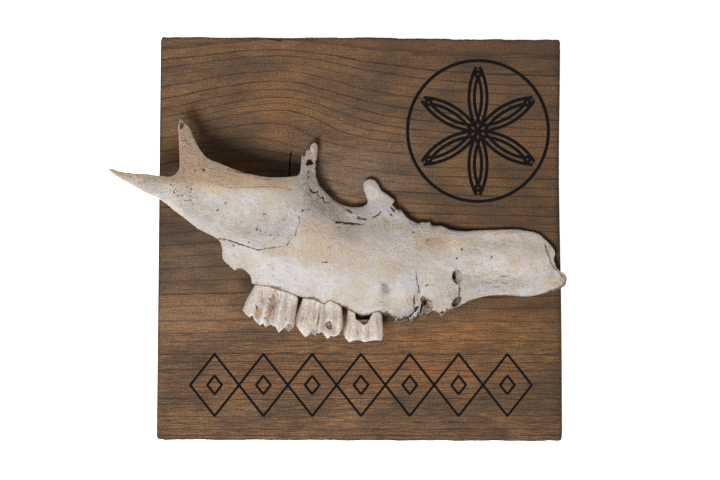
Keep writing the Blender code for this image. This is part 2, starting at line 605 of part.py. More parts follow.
def main():
    for old in list(bpy.data.objects):
        bpy.data.objects.remove(old)
    wood, bone, tooth = (make_material(name, rough) for name, rough in ROUGHNESS.items())
    paths = {
        "cheek": smooth_path(CHEEK_EDGE, OUTLINE_STEP),
        "tear": smooth_path(TEAR_EDGE, OUTLINE_STEP),
        "jaw_top": smooth_path(JAW_TOP_EDGE, OUTLINE_STEP),
        "jaw_lower": smooth_path(JAW_LOWER_EDGE, OUTLINE_STEP),
        "jaw_knob": smooth_path(JAW_KNOB_EDGE, OUTLINE_STEP),
        "cheek_jaw": smooth_path(CHEEK_SUTURE, OUTLINE_STEP),
        "cheek_tear": smooth_path(CHEEK_TEAR_SUTURE, OUTLINE_STEP),
        "tear_jaw": smooth_path(TEAR_SUTURE, OUTLINE_STEP),
    }
    face = FaceSurface()
    board(wood)
    jaw = upper_jaw(face, paths, bone)
    cheek_bone(face, paths, bone)
    tear = tear_bone(face, paths, bone)
    cut_holes({"upper_jaw": jaw, "tear_bone": tear})
    for name, size in TEETH.items():
        points, faces = tooth_points(size)
        points[:, 2] += BOARD_THICK
        made = add_object(name, points, faces, tooth)
        if name == "front_molar":
            fork_roots(made)
        points, faces = tooth_points(size, grow=SOCKET_CLEAR)
        points[:, 2] += BOARD_THICK
        cut_away(jaw, name + "_socket", points, faces)


main()
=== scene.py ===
"""Looks of the mounted deer jaw: one side of an upper jaw with three cheek teeth, on a square board.

Sizes are in millimetres until a mesh is made, and heights on the bone are over the board's face.
"""

import math

import bpy
import numpy as np
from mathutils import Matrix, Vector, noise
from mathutils.geometry import delaunay_2d_cdt


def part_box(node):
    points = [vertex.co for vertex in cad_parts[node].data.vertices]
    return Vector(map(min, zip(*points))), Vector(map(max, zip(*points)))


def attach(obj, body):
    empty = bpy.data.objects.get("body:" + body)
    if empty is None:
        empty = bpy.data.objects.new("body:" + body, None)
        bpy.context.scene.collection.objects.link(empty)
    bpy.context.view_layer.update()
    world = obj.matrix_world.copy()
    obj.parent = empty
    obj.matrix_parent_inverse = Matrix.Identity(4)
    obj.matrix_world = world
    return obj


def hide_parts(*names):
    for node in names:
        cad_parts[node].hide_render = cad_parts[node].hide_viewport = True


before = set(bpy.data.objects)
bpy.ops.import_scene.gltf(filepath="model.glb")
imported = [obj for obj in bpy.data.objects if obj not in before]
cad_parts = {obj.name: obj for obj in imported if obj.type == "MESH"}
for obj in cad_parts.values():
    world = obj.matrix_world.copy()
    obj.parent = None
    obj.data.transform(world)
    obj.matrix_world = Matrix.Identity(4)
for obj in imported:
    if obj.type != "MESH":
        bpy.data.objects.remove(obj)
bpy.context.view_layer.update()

# The board is one plank of stained softwood, sawn roughly square, with its growth rings cut along
# their length. They run across it and rise in a hump over a knot. A split runs up from the knot.
MM = 0.001
BOARD_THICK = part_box("board")[1][2] / MM
BOARD_CORNERS = ((-101.7, -99.9), (101.1, -100.6), (100.3, 100.4), (-99.6, 101.8))
SAWN_END = 95.0
LONG_SIDE = 98.0
SAW_WAVE = 0.12
EDGE_BOW, EDGE_BOW_AT, EDGE_BOW_REACH = 1.0, 32.0, 50.0
TOP_BOW, TOP_BOW_AT, TOP_BOW_REACH = 0.5, 3.0, 25.0
CORNER_WEAR = 0.7
CORNER_REACH = 1.2
SPLINTERS = 0.25
FINE_SPLINTERS = 0.3
BOARD_STEP = 0.8
BOARD_GRID = 1.4
BOARD_BACK_GRID = 9.0
EDGE_GUIDE = 0.6
RING_HEIGHTS = (
    112, 99, 94.5, 91.5, 88.2, 84, 78.9, 74.8, 70.7, 67.8, 64.3, 57.8, 50.5, 45, 39.5, 34, 27.5, 22,
    16.5, 12.5, 6.5, 0, -6.5, -13, -20, -26.5, -32.8, -40.5, -46.5, -50.5, -57.5, -61.5, -65.5,
    -68.6, -72, -74.3, -77, -79.6, -82.4, -85, -88.2, -91.5, -95, -98, -112,
)
RING_SWAY = 0.9
RING_SLANT = 0.12
HUMP_HEIGHT = 20.7
HUMP_LEVEL = 58.0
HUMP_MIDDLE = -40.5
HUMP_LEAN, HUMP_LEAN_AT, HUMP_LEAN_REACH = 14.0, 47.0, 10.0
HUMP_LEFT, HUMP_RIGHT = 60.0, 40.0
HUMP_ABOVE, HUMP_BELOW = 38.0, 60.0
# Where the stain has faded, and, under the eye socket's rim, where the wood's colour is deepened as
# painted shade: x, y, half width, half height, lean in degrees, strength.
FADED_AND_SHADED_PATCHES = (
    (-2, 32, 30, 16, 0, 0.24), (-85, -38, 30, 20, 0, 0.08), (100, 20, 60, 60, 0, -0.12),
    (60, -45, 60, 40, 0, -0.08), (-85, -10, 16, 13, 0, 0.14), (-40, 70, 20, 16, 0, -0.06),
    (-61, 38, 14, 6, 0, -0.35),
)
# The splits: a run of points, half width, depth.
SPLITS = (
    (((-34.5, 43.6), (-35, 40), (-35.2, 35), (-35.6, 30)), 0.4, 2.5),
    (((-47.5, 101.2), (-43.5, 100.2), (-39.6, 99.8)), 0.28, 1),
)
# Where the wood is redder, then where it is lighter or darker, given in the same way. The lighter
# and darker patches are partly the stain's own tone and partly painted shadow and painted light:
# shadows of the jaw's knob, the cheekbone, the eye socket's rim and the tear prong on the board,
# and light painted on the board in the notch beside the tear bone.
WARM_PATCHES = (
    (-39, 68, 12, 14, 0, 0.4), (-40, 51, 8, 4.5, 15, 0.6), (30, -50, 50, 6, 0, 0.5),
    (20, -66, 60, 6, 0, 0.8), (-55, -73, 40, 4, 0, 0.75), (-80, -45, 20, 12, 0, 0.25),
    (60, 97, 35, 4, 0, 0.5), (-20, 96, 40, 4, 0, 0.4), (80, -38, 20, 8, 0, 0.3),
)
TONE_AND_SHADE_PATCHES = (
    (-85, -38, 30, 20, 0, 0.36), (40, -48, 60, 10, 0, 0.34), (100, 20, 34, 60, 0, -0.25),
    (98, -82, 14, 22, 0, -0.2), (70, 95, 60, 22, 0, -0.34), (-92, -10, 14, 20, 0, -0.08),
    (-10, 40, 30, 20, 0, 0.12), (-30, 75, 40, 20, 0, 0.14), (-60, 76, 6, 6, 0, -0.3),
    (-77, 82, 6, 5, 0, -0.25), (-20, -90, 60, 8, 0, 0.15), (90, -33, 14, 4, 0, -0.35),
    (-90, 60, 20, 30, 0, 0.1), (80, -54, 40, 2.5, 0, -0.3), (-85, -58, 25, 8, 0, -0.2),
    (-80, -8, 18, 18, 0, -0.13), (-27, 76, 22, 8, 0, 0.12), (85, -45, 25, 8, 0, 0.1),
    (-56.5, -21, 5, 5, 0, -0.75), (-80, 78, 24, 16, 0, 0.14), (-72, 50, 16, 8, 0, -0.15),
    (-95, 10.5, 12, 9, 0, -0.28), (-85, -26, 22, 3.5, 0, -0.2), (-31, 42, 8, 9, 0, -0.25),
    (72, 6, 40, 14, 0, -0.06), (-16.5, 26.5, 7, 4, -45, 0.42), (-6, 19.5, 9, 3, -15, 0.55),
    (99.5, 0, 2.5, 90, 0, -0.3), (-98, 34, 6, 5, 0, -0.6), (-40, 33, 8, 4, 0, -0.35),
    (-82, -34, 25, 3, 0, 0.2), (38, -39, 22, 5, 0, 0.3), (88, -46.5, 14, 4, 0, 0.25),
    (60, -92, 40, 8, 0, -0.1), (-38.5, 47.5, 9, 4, 0, -0.12), (-15, 46, 8, 6, 0, -0.08),
    (-35, 100, 14, 3, 0, -0.12), (18, 76, 12, 8, 0, -0.08), (66, -40, 16, 4, 0, 0.12),
    (92, -93.5, 10, 6, 0, -0.12), (-40, 78, 8, 5, 0, 0.2), (-98, 45, 5, 4, 0, 0.25),
    (-52, 43, 25, 3, 0, -0.08),
)


def smooth_path(points, step, closed=False):
    """Points along a Catmull-Rom curve that passes through every given point."""
    given = [np.array(p, float) for p in points]
    count = len(given)
    made = []
    for i in range(count if closed else count - 1):
        if closed:
            p0, p1, p2, p3 = (given[(i + k) % count] for k in (-1, 0, 1, 2))
        else:
            p1, p2 = given[i], given[i + 1]
            p0 = given[i - 1] if i > 0 else 2 * p1 - p2
            p3 = given[i + 2] if i + 2 < count else 2 * p2 - p1
        span = np.linalg.norm(p2 - p1)
        pieces = max(1, math.ceil(span / step - 0.25))
        k0, k3 = max(np.linalg.norm(p1 - p0), 1e-9), max(np.linalg.norm(p3 - p2), 1e-9)
        out_of = (p2 - p0) / (span + k0) * span
        into = (p3 - p1) / (span + k3) * span
        for t in (n / pieces for n in range(pieces)):
            a, b = 2 * t**3 - 3 * t**2 + 1, t**3 - 2 * t**2 + t
            c, d = -2 * t**3 + 3 * t**2, t**3 - t**2
            made.append(a * p1 + b * out_of + c * p2 + d * into)
    if not closed:
        made.append(given[-1])
    return np.array(made)


def segments(path, closed=False):
    path = np.asarray(path, float)
    ends = np.vstack([path, path[:1]]) if closed else path
    return zip(ends[:-1], ends[1:])


def distance_to(points, path, closed=False):
    """How far each point is from a run of straight pieces."""
    nearest = np.full(len(points), np.inf)
    for start, end in segments(path, closed):
        along = end - start
        share = np.clip((points - start) @ along / max(along @ along, 1e-12), 0, 1)
        away = points - start - share[:, None] * along
        nearest = np.minimum(nearest, (away**2).sum(1))
    return np.sqrt(nearest)


def near_to(points, path, reach, closed=False):
    """The same, but only worked out within reach of the run's box; elsewhere it is the reach."""
    path = np.asarray(path, float)
    low, high = path.min(0) - reach, path.max(0) + reach
    close = ((points > low) & (points < high)).all(1)
    away = np.full(len(points), float(reach))
    away[close] = np.minimum(distance_to(points[close], path, closed), reach)
    return away


def smooth_step(value):
    t = np.clip(value, 0, 1)
    return t * t * (3 - 2 * t)


def turning_left(outline):
    x, y = outline.T
    area = (x * np.roll(y, -1) - np.roll(x, -1) * y).sum()
    return outline if area > 0 else outline[::-1]


def sideways(path, closed=False):
    """The unit vector to the left of a path at each of its points."""
    if closed:
        ahead = np.roll(path, -1, 0) - np.roll(path, 1, 0)
    else:
        ahead = np.gradient(path, axis=0)
    ahead /= np.maximum(np.linalg.norm(ahead, axis=1), 1e-9)[:, None]
    return np.stack([-ahead[:, 1], ahead[:, 0]], 1)


def within(points, outline):
    """Which points lie inside a closed outline."""
    inside = np.zeros(len(points), bool)
    for a, b in segments(outline, closed=True):
        if a[1] != b[1]:
            at = a[0] + (points[:, 1] - a[1]) / (b[1] - a[1]) * (b[0] - a[0])
            inside ^= ((a[1] > points[:, 1]) != (b[1] > points[:, 1])) & (points[:, 0] < at)
    return inside


def thinned(points, apart):
    """The points with no two in the same small square."""
    _, first = np.unique(np.floor(points / apart).astype(int), axis=0, return_index=True)
    return points[np.sort(first)]


def filled(outline, guides, spacing, clear):
    """Triangles over a closed outline, through the guide points and a grid of points between them."""
    low, high = outline.min(0), outline.max(0)
    rows = np.arange(low[1], high[1], spacing * math.sqrt(0.75))
    columns = np.arange(low[0], high[0], spacing)
    grid = np.array([(x + (n % 2) * spacing / 2, y) for n, y in enumerate(rows) for x in columns])
    if len(guides):
        guides = thinned(np.vstack(guides), 0.12)
        taken = {tuple(c) for c in np.round(guides / (0.7 * spacing)).astype(int).tolist()}
        cells = np.round(grid / (0.7 * spacing)).astype(int).tolist()
        grid = np.vstack([guides, grid[[tuple(c) not in taken for c in cells]]])
    grid = grid[within(grid, outline)]
    grid = grid[near_to(grid, outline, 1.01 * clear, closed=True) > clear]
    points = np.vstack([outline, grid])
    border = list(range(len(outline)))
    made = delaunay_2d_cdt([Vector(p) for p in points.tolist()], [], [border], 1, 1e-6)
    return np.array([tuple(v) for v in made[0]]), [tuple(f) for f in made[2]]


def waves(points, size, seed=0.0, stretch=(1, 1)):
    """Smooth noise from about -1 to 1 over flat points, with waves of about the given size."""
    at = points / size / np.array(stretch)
    return np.array([noise.noise((x, y, seed)) for x, y in at.tolist()])


def oval_place(points, x, y, across, up, lean):
    """Where points lie on a leaning oval, along it and across it, as shares of its half sizes."""
    turn = math.radians(lean)
    offset = points - (x, y)
    along = offset @ (math.cos(turn), math.sin(turn)) / across
    return along, offset @ (-math.sin(turn), math.cos(turn)) / up


def patches(points, spots):
    """The sum of soft oval patches: x, y, half width, half height, lean in degrees, strength."""
    total = np.zeros(len(points))
    for *oval, strength in spots:
        u, v = oval_place(points, *oval)
        total += strength * np.exp(-(u**2 + v**2))
    return total


def closed_relief(rim, top_net, bottom_net, front, back, rows, bow=None):
    """Points and faces of a solid between two height fields whose nets start with the same rim."""
    (top, top_faces), (bottom, bottom_faces) = top_net, bottom_net
    upper, lower = np.column_stack([top, front]), np.column_stack([bottom, back])
    levels = [upper[:rim] + (lower[:rim] - upper[:rim]) * n / rows for n in range(1, rows)]
    if bow is not None:
        for n, level in enumerate(levels, 1):
            level[:, :2] += bow(level, n / rows)
    points = np.vstack([upper, lower, *levels])
    first = len(upper)
    made = top_faces + [tuple(first + i for i in reversed(f)) for f in bottom_faces]
    starts = [0] + [len(upper) + len(lower) + n * rim for n in range(rows - 1)] + [first]
    for above, below in zip(starts, starts[1:]):
        for i in range(rim):
            j = (i + 1) % rim
            made.append((above + i, below + i, below + j, above + j))
    return points, made


def dressed(name, points, faces, material, slot, stands_for, sharp=50, **values):
    """A finished piece whose named values are kept on its points."""
    mesh = bpy.data.meshes.new(name)
    mesh.from_pydata((points * MM).tolist(), [], faces)
    mesh.update()
    for label, value in values.items():
        kept = mesh.attributes.new(label, "FLOAT", "POINT")
        kept.data.foreach_set("value", np.asarray(value, np.float32))
    mesh.shade_smooth()
    mesh.set_sharp_from_angle(angle=math.radians(sharp))
    made = bpy.data.objects.new(name, mesh)
    made.data.materials.append(material)
    bpy.context.scene.collection.objects.link(made)
    declare(made, stands_for)
    return made


def declare(piece, stands_for=()):
    """Says what a piece rides on, and which solids it is shown for."""
    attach(piece, "root")
    for node in stands_for:
        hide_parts(node)


class Finish:
    """A material whose nodes are added one line at a time."""

    def __init__(self, name):
        self.material = bpy.data.materials.new(name)
        self.material.use_nodes = True
        self.nodes = self.material.node_tree.nodes
        self.shader = self.nodes["Principled BSDF"]
        self.place = self.add("ShaderNodeTexCoord").outputs["Object"]

    def join(self, value, socket):
        if isinstance(value, bpy.types.NodeSocket):
            self.material.node_tree.links.new(value, socket)
        else:
            socket.default_value = value

    def add(self, kind, *values, **settings):
        made = self.nodes.new(kind)
        for label, value in settings.items():
            setattr(made, label, value)
        for socket, value in zip(made.inputs, values):
            if value is not None:
                self.join(value, socket)
        return made

    def value(self, label):
        return self.add("ShaderNodeAttribute", attribute_name=label).outputs["Fac"]

    def maths(self, operation, *values):
        return self.add("ShaderNodeMath", *values, operation=operation).outputs[0]

    def stretched(self, scale, turn=0.0, shift=(0, 0, 0)):
        """Object coordinates in millimetres, scaled along each axis after a turn about Z."""
        turned = self.add("ShaderNodeMapping", self.place, shift, (0, 0, turn), (1 / MM,) * 3)
        return self.add("ShaderNodeMapping", turned.outputs[0], (0, 0, 0), (0, 0, 0), scale).outputs[0]

    def noise(self, place, detail=3.0, rough=0.5, turn=0.0, shift=(0, 0, 0)):
        """Smooth noise from 0 to 1, at a place or over the piece with its millimetres scaled."""
        if isinstance(place, tuple):
            place = self.stretched(place, turn, shift)
        made = self.add("ShaderNodeTexNoise")
        values = {"Vector": place, "Scale": 1.0, "Detail": detail, "Roughness": rough}
        for label, value in values.items():
            self.join(value, made.inputs[label])
        return made.outputs["Fac"]

    def range(self, value, low, high, bottom=0.0, top=1.0):
        stops = (value, low, high, bottom, top)
        return self.add("ShaderNodeMapRange", *stops, interpolation_type="SMOOTHSTEP").outputs[0]

    def mix(self, share, first, second):
        made = self.add("ShaderNodeMix", data_type="RGBA")
        for place, value in ((0, share), (6, first), (7, second)):
            self.join(value, made.inputs[place])
        return made.outputs[2]

    def bump(self, height, strength, depth):
        made = self.add("ShaderNodeBump")
        for label, value in (("Strength", strength), ("Distance", depth * MM), ("Height", height)):
            self.join(value, made.inputs[label])
        return made.outputs["Normal"]

    def toned(self, colour, shade, patterns, rough=1.0, rich=1.0):
        """A colour times a shade, which each pattern swings up and down by its own strength."""
        for pattern, strength in patterns:
            swing = self.maths("MULTIPLY", self.maths("SUBTRACT", pattern, 0.5), strength)
            swing = self.maths("MULTIPLY_ADD", swing, rough, 1.0)
            shade = self.maths("MULTIPLY", shade, swing)
        made = self.add("ShaderNodeHueSaturation")
        for label, value in (("Value", shade), ("Saturation", rich), ("Color", colour)):
            self.join(value, made.inputs[label])
        return made.outputs[0]

    def finish(self, **sockets):
        for label, value in sockets.items():
            self.join(value, self.shader.inputs[label.replace("_", " ")])
        return self.material


def linear(*shown):
    """A colour as a screen shows it, from 0 to 255, as the shader wants it."""
    return tuple(((c / 255 + 0.055) / 1.055) ** 2.4 if c > 10 else c / 3294 for c in shown) + (1.0,)


def bulge(values, middle, reach):
    """One at the middle, falling away smoothly on both sides."""
    return np.exp(-(((values - middle) / reach) ** 2))


def board_outline(step):
    """The board's edge as the CAD has it, its sawn ends a little wavy and splintered inwards."""
    corners = [np.array(c) for c in BOARD_CORNERS]
    outline = []
    for start, end in zip(corners, corners[1:] + corners[:1]):
        pieces = round(np.linalg.norm(end - start) / step)
        outline += [start + (end - start) * n / pieces for n in range(pieces)]
    outline = np.array(outline)
    x, y = outline.T
    to_corner = np.minimum.reduce([np.linalg.norm(outline - c, axis=1) for c in corners])
    sawn = (np.abs(x) < LONG_SIDE) & (np.abs(y) > SAWN_END)
    wave = np.sin(x * 0.21) + 0.6 * np.sin(x * 0.47 + 1.0)
    bow = TOP_BOW * (bulge(x, TOP_BOW_AT, TOP_BOW_REACH) - 0.5) * (y > SAWN_END)
    outline[:, 1] += (SAW_WAVE * wave + bow) * sawn
    outline[:, 0] -= EDGE_BOW * bulge(y, EDGE_BOW_AT, EDGE_BOW_REACH) * (x > LONG_SIDE)
    splinter = SPLINTERS * np.maximum(waves(outline, 2.3, 5.0), 0)
    splinter += FINE_SPLINTERS * np.maximum(waves(outline, 0.9, 7.0) - 0.1, 0)
    depth = splinter * np.where(np.abs(y) > SAWN_END, 1.0, 0.3)
    depth += CORNER_WEAR * bulge(to_corner, 0, CORNER_REACH)
    return outline + sideways(outline, closed=True) * depth[:, None]


def hump(points, depth):
    """How far the growth rings are lifted over the knot; the lift dies away into the board."""
    x, y = points[:, 0], points[:, 1]
    middle = HUMP_MIDDLE - HUMP_LEAN * bulge(y, HUMP_LEAN_AT, HUMP_LEAN_REACH)
    width = np.where(x < middle, HUMP_LEFT, HUMP_RIGHT)
    spread = np.where(y > HUMP_LEVEL, HUMP_ABOVE, HUMP_BELOW)
    rise = 1 / (1 + ((x - middle) / width) ** 2)
    return HUMP_HEIGHT * bulge(y, HUMP_LEVEL, spread) * (1 - rise) - RING_SLANT * depth


def ring_number(points, depth):
    """Which growth ring each point of the board is in, counted from the top, as a running number."""
    sway = RING_SWAY * waves(points, 38.0, 3.0, (1.6, 0.5))
    level = points[:, 1] + hump(points, depth) + sway
    heights = np.array(RING_HEIGHTS[::-1], float)
    return len(heights) - np.interp(level, heights, np.arange(len(heights)))


# The marks are burnt into the board with a hot point: a six-petalled rosette in a ring at the
# upper right, and a chain of nested lozenges along the bottom. Each is a shallow charred groove.
ROSETTE_MIDDLE = np.array((59.0, 54.5))
ROSETTE_RING = 35.2
PETAL_REACH = 33.6
PETAL_TIP = 4
LINING_INSET = 2.7
LINING_TIP = 11
LINING_GAP = 4
SPOT_REACH = 28.5
SPOT_RADIUS = 1.3
ROSETTE_WIDTH = 1.5
CHAIN_MIDDLE = np.array((0.5, -72.5))
CHAIN_COUNT = 7
LOZENGE = np.array((24.4, 31.0))
CHAIN_INNER = 0.3
CHAIN_WIDTH = 1.05
BURN_DEPTH = 0.55
BURN_BANK = 0.6
BURN_BED = (0, -0.55, 0.55, -1, 1)
SPLIT_BED = (0, -1, 1)
SPLIT_DARK = 0.62
SCORCH = 0.22


def arc(middle, radius, start, end, step=1.0):
    """Points along part of a circle, between two directions in degrees."""
    count = max(2, math.ceil(abs(end - start) * math.pi / 180 * radius / step))
    turns = np.radians(np.linspace(start, end, count + 1))
    return middle + radius * np.column_stack([np.cos(turns), np.sin(turns)])


def rosette_lines():
    """The ring, and in each sixth of it a petal side with its broken lining and a spot."""
    lines = [arc(ROSETTE_MIDDLE, ROSETTE_RING, 0, 360)]
    for first in range(150, 510, 60):
        pole = math.radians(first - 120)
        outwards = np.array((math.cos(pole), math.sin(pole)))
        centre, lining = ROSETTE_MIDDLE + PETAL_REACH * outwards, PETAL_REACH - LINING_INSET
        middle, last = first + 60, first + 120
        lines.append(arc(centre, PETAL_REACH, first + PETAL_TIP, last - PETAL_TIP))
        lines.append(arc(centre, lining, first + LINING_TIP, middle - LINING_GAP))
        lines.append(arc(centre, lining, middle + LINING_GAP, last - LINING_TIP))
        lines.append(arc(ROSETTE_MIDDLE + SPOT_REACH * outwards, SPOT_RADIUS, 0, 360))
    return lines


def chain_lines():
    """A row of lozenges that touch at their tips, each with a smaller one inside it."""
    lines = []
    ring = np.array(((-1, 0), (0, 1), (1, 0), (0, -1), (-1, 0))) * LOZENGE / 2
    for k in range(CHAIN_COUNT):
        middle = CHAIN_MIDDLE + ((k - (CHAIN_COUNT - 1) / 2) * LOZENGE[0], 0)
        lines += [middle + ring, middle + ring * CHAIN_INNER]
    return lines


def drawn(line, step=0.7):
    """A line of straight pieces with points close enough to cut a groove along it."""
    made = [line[:1]]
    for start, end in segments(line):
        pieces = max(1, round(np.linalg.norm(end - start) / step))
        made.append(start + (end - start) * (np.arange(1, pieces + 1) / pieces)[:, None])
    return np.vstack(made)


burnt = [(drawn(line), ROSETTE_WIDTH / 2) for line in rosette_lines()]
burnt += [(drawn(line), CHAIN_WIDTH / 2) for line in chain_lines()]


def beside(path, offsets):
    """Guide points that run along a path at each distance to its left."""
    across = sideways(path)
    return np.vstack([path + across * offset for offset in offsets])


grooves = [(path, half, BURN_DEPTH, BURN_BANK, 1.0, BURN_BED) for path, half in burnt]
for path, half, depth in SPLITS:
    grooves.append((smooth_path(path, 0.5), half, depth, 1.0, SPLIT_DARK, SPLIT_BED))

edge = board_outline(BOARD_STEP)
guides = [edge + sideways(edge, closed=True) * EDGE_GUIDE]
for path, half, _, _, _, bed in grooves:
    guides.append(beside(path, [half * share for share in bed] + [-half - SCORCH, half + SCORCH]))
face, face_faces = filled(edge, guides, BOARD_GRID, clear=0.3)
underside, underside_faces = filled(edge, (), BOARD_BACK_GRID, clear=3.0)

sunk, burn = np.zeros(len(face)), np.zeros(len(face))
for path, half, depth, bank, dark, _ in grooves:
    away = near_to(face, path, half + 1.0)
    sunk = np.maximum(sunk, depth * smooth_step((half - away) / (bank * half)))
    burn = np.maximum(burn, dark * np.clip((half + SCORCH - away) / SCORCH, 0, 1))

WALL_ROWS = 7
FRONT_ROUND, BACK_ROUND, ROUND_REACH = 0.5, 0.4, 0.8
SAW_MARKS = 0.05
to_edge = near_to(face, edge, 4.0, closed=True)
to_back_edge = near_to(underside, edge, 1.0, closed=True)
front = BOARD_THICK - sunk - SAW_MARKS * (1 + waves(face, 3.0, 1.0, (4, 1)))
front -= FRONT_ROUND * np.clip(1 - to_edge / ROUND_REACH, 0, 1) ** 2
back = BACK_ROUND * np.clip(1 - to_back_edge / ROUND_REACH, 0, 1) ** 2
nets = (face, face_faces), (underside, underside_faces)
points, faces = closed_relief(len(edge), *nets, front, back, WALL_ROWS)

WOOD_TONE = 0.77
GRAIN_SWING = 2.2
LOW_GRAIN_SWING, LOW_GRAIN_FROM, LOW_GRAIN_REACH = 2.2, -30.0, 25.0
RIM_REACH = 2.2
SIDE_DARK = 0.8
flat = points[:, :2]
unseen = len(points) - len(face)
low_down = smooth_step((LOW_GRAIN_FROM - flat[:, 1]) / LOW_GRAIN_REACH)
board_values = dict(
    ring=ring_number(flat, BOARD_THICK - points[:, 2]),
    burn=np.append(burn, np.zeros(unseen)),
    rim=np.append(np.clip(1 - to_edge / RIM_REACH, 0, 1), np.full(unseen, SIDE_DARK)),
    warm=patches(flat, WARM_PATCHES),
    rich=1.0 - patches(flat, FADED_AND_SHADED_PATCHES),
    # The wood's own tone with painted shadow and painted light in it.
    tone_and_shade=WOOD_TONE * (1.0 + patches(flat, TONE_AND_SHADE_PATCHES)),
    coarse=GRAIN_SWING + LOW_GRAIN_SWING * low_down,
)

wood = Finish("stained_softwood")
wobble = wood.noise((0.035, 0.45, 0.45), 3.0)
ring = wood.maths("ADD", wood.value("ring"), wood.maths("MULTIPLY_ADD", wobble, 0.34, -0.13))
in_ring = wood.maths("FRACT", ring)
own = wood.add("ShaderNodeTexWhiteNoise", None, wood.maths("FLOOR", ring), noise_dimensions="1D")
fade = wood.noise((0.05, 0.3, 0.3), 3.0)
late = wood.maths("MULTIPLY", wood.range(in_ring, 0.8, 0.97), wood.range(in_ring, 1.0, 0.985))
late = wood.maths("MULTIPLY", late, wood.range(own.outputs["Value"], 0.0, 1.0, 0.55, 1.0))
late = wood.maths("MULTIPLY", late, wood.range(fade, 0.3, 0.6, 0.6, 1.0))
fibre = wood.noise((0.12, 2.0, 2.0), 5.0, 0.62)
speckle = wood.noise((1.0, 1.5, 1.5), 3.0, 0.7)
comb = wood.noise((2.1, 0.14, 0.4), 1.0, 0.4)
cloud = wood.noise((0.035, 0.08, 0.08), 4.0, 0.55)
streak = wood.noise((0.016, 0.3, 0.3), 4.0, 0.6)
colour = wood.mix(wood.range(cloud, 0.36, 0.62), linear(99, 74, 51), linear(128, 94, 61))
warm = wood.maths("MULTIPLY", wood.value("warm"), wood.range(streak, 0.3, 0.6, 0.4, 1.0))
colour = wood.mix(warm, colour, linear(146, 98, 62))
colour = wood.mix(wood.range(streak, 0.55, 0.7, 0.0, 0.5), colour, linear(76, 60, 46))
lines = wood.range(wood.value("rich"), 0.76, 0.94, 0.4, 0.95)
colour = wood.mix(wood.maths("MULTIPLY", late, lines), colour, linear(40, 25, 15))
rim = wood.maths("MULTIPLY", wood.value("rim"), wood.noise((0.5, 0.5, 0.5)))
colour = wood.mix(wood.range(rim, 0.15, 0.6, 0.0, 0.7), colour, linear(46, 32, 22))
swings = ((fibre, wood.value("coarse")), (speckle, 2.5), (comb, 0.45))
# The tone, with its painted shadow and painted light, sets how bright the wood is.
colour = wood.toned(colour, wood.value("tone_and_shade"), swings, rich=wood.value("rich"))
scorch = wood.range(wood.value("burn"), 0.0, 0.35)
colour = wood.mix(wood.maths("MULTIPLY", scorch, 0.5), colour, linear(96, 58, 34))
colour = wood.mix(wood.range(wood.value("burn"), 0.35, 0.8), colour, linear(10, 9, 8))
grain = wood.maths("ADD", wood.maths("MULTIPLY", fibre, 0.8), wood.maths("MULTIPLY", speckle, 0.7))
grain = wood.maths("ADD", grain, wood.maths("MULTIPLY", late, 0.4))
stained_wood = wood.finish(
    Base_Color=colour, Roughness=wood.range(fibre, 0.2, 0.8, 0.7, 0.85),
    Normal=wood.bump(grain, 0.7, 0.3),
)
dressed(
    "board_plank", points, faces, stained_wood, slot="wood", stands_for=["board"], **board_values,
)

# Charred wood stands in blisters along each burnt line, where the hot point rested for a moment.
# They are low crumbs that touch, no two turned or sized alike.
char = Finish("charred_wood")
crumb = char.noise((2.4, 2.4, 2.4), 3.0)
char.finish(
    Base_Color=char.mix(crumb, linear(9, 8, 8), linear(24, 21, 19)), Roughness=0.8,
    Specular_IOR_Level=0.2, Normal=char.bump(crumb, 0.5, 0.2),
)
BLISTER_STEP = 0.8
BLISTER_WIDTH = 0.98
BLISTER_SPACING = 1.25
BLISTER_LEAST = (0.8, 0.8, 0.3)
BLISTER_MOST = (1.15, 1.15, 0.5)
BLISTER_SINK = 0.3
BLISTER_SEED = 4


def begun_tree(name, *kinds, **sizes):
    """A node tree that takes a path, named sizes and a finish; then its nodes, the input first."""
    tree = bpy.data.node_groups.new(name, "GeometryNodeTree")
    new_socket = tree.interface.new_socket
    new_socket("Geometry", in_out="INPUT", socket_type="NodeSocketGeometry")
    for label, value in sizes.items():
        kind = {int: "Int", float: "Float", tuple: "Vector"}[type(value)]
        new_socket(label, in_out="INPUT", socket_type="NodeSocket" + kind).default_value = value
    new_socket("Finish", in_out="INPUT", socket_type="NodeSocketMaterial")
    new_socket("Geometry", in_out="OUTPUT", socket_type="NodeSocketGeometry")
    return tree, *(tree.nodes.new(kind) for kind in ("NodeGroupInput", *kinds))


def ended_tree(tree, given, made):
    """The tree with its end: every instance made real, shaded smooth and given the finish."""
    steps = ("RealizeInstances", "SetShadeSmooth", "SetMaterial")
    realised, smooth, finished = (tree.nodes.new("GeometryNode" + step) for step in steps)
    link = tree.links.new
    link(made, realised.inputs[0])
    link(realised.outputs[0], smooth.inputs[0])
    link(smooth.outputs[0], finished.inputs["Geometry"])
    link(given.outputs["Finish"], finished.inputs["Material"])
    link(finished.outputs["Geometry"], tree.nodes.new("NodeGroupOutput").inputs[0])
    return tree


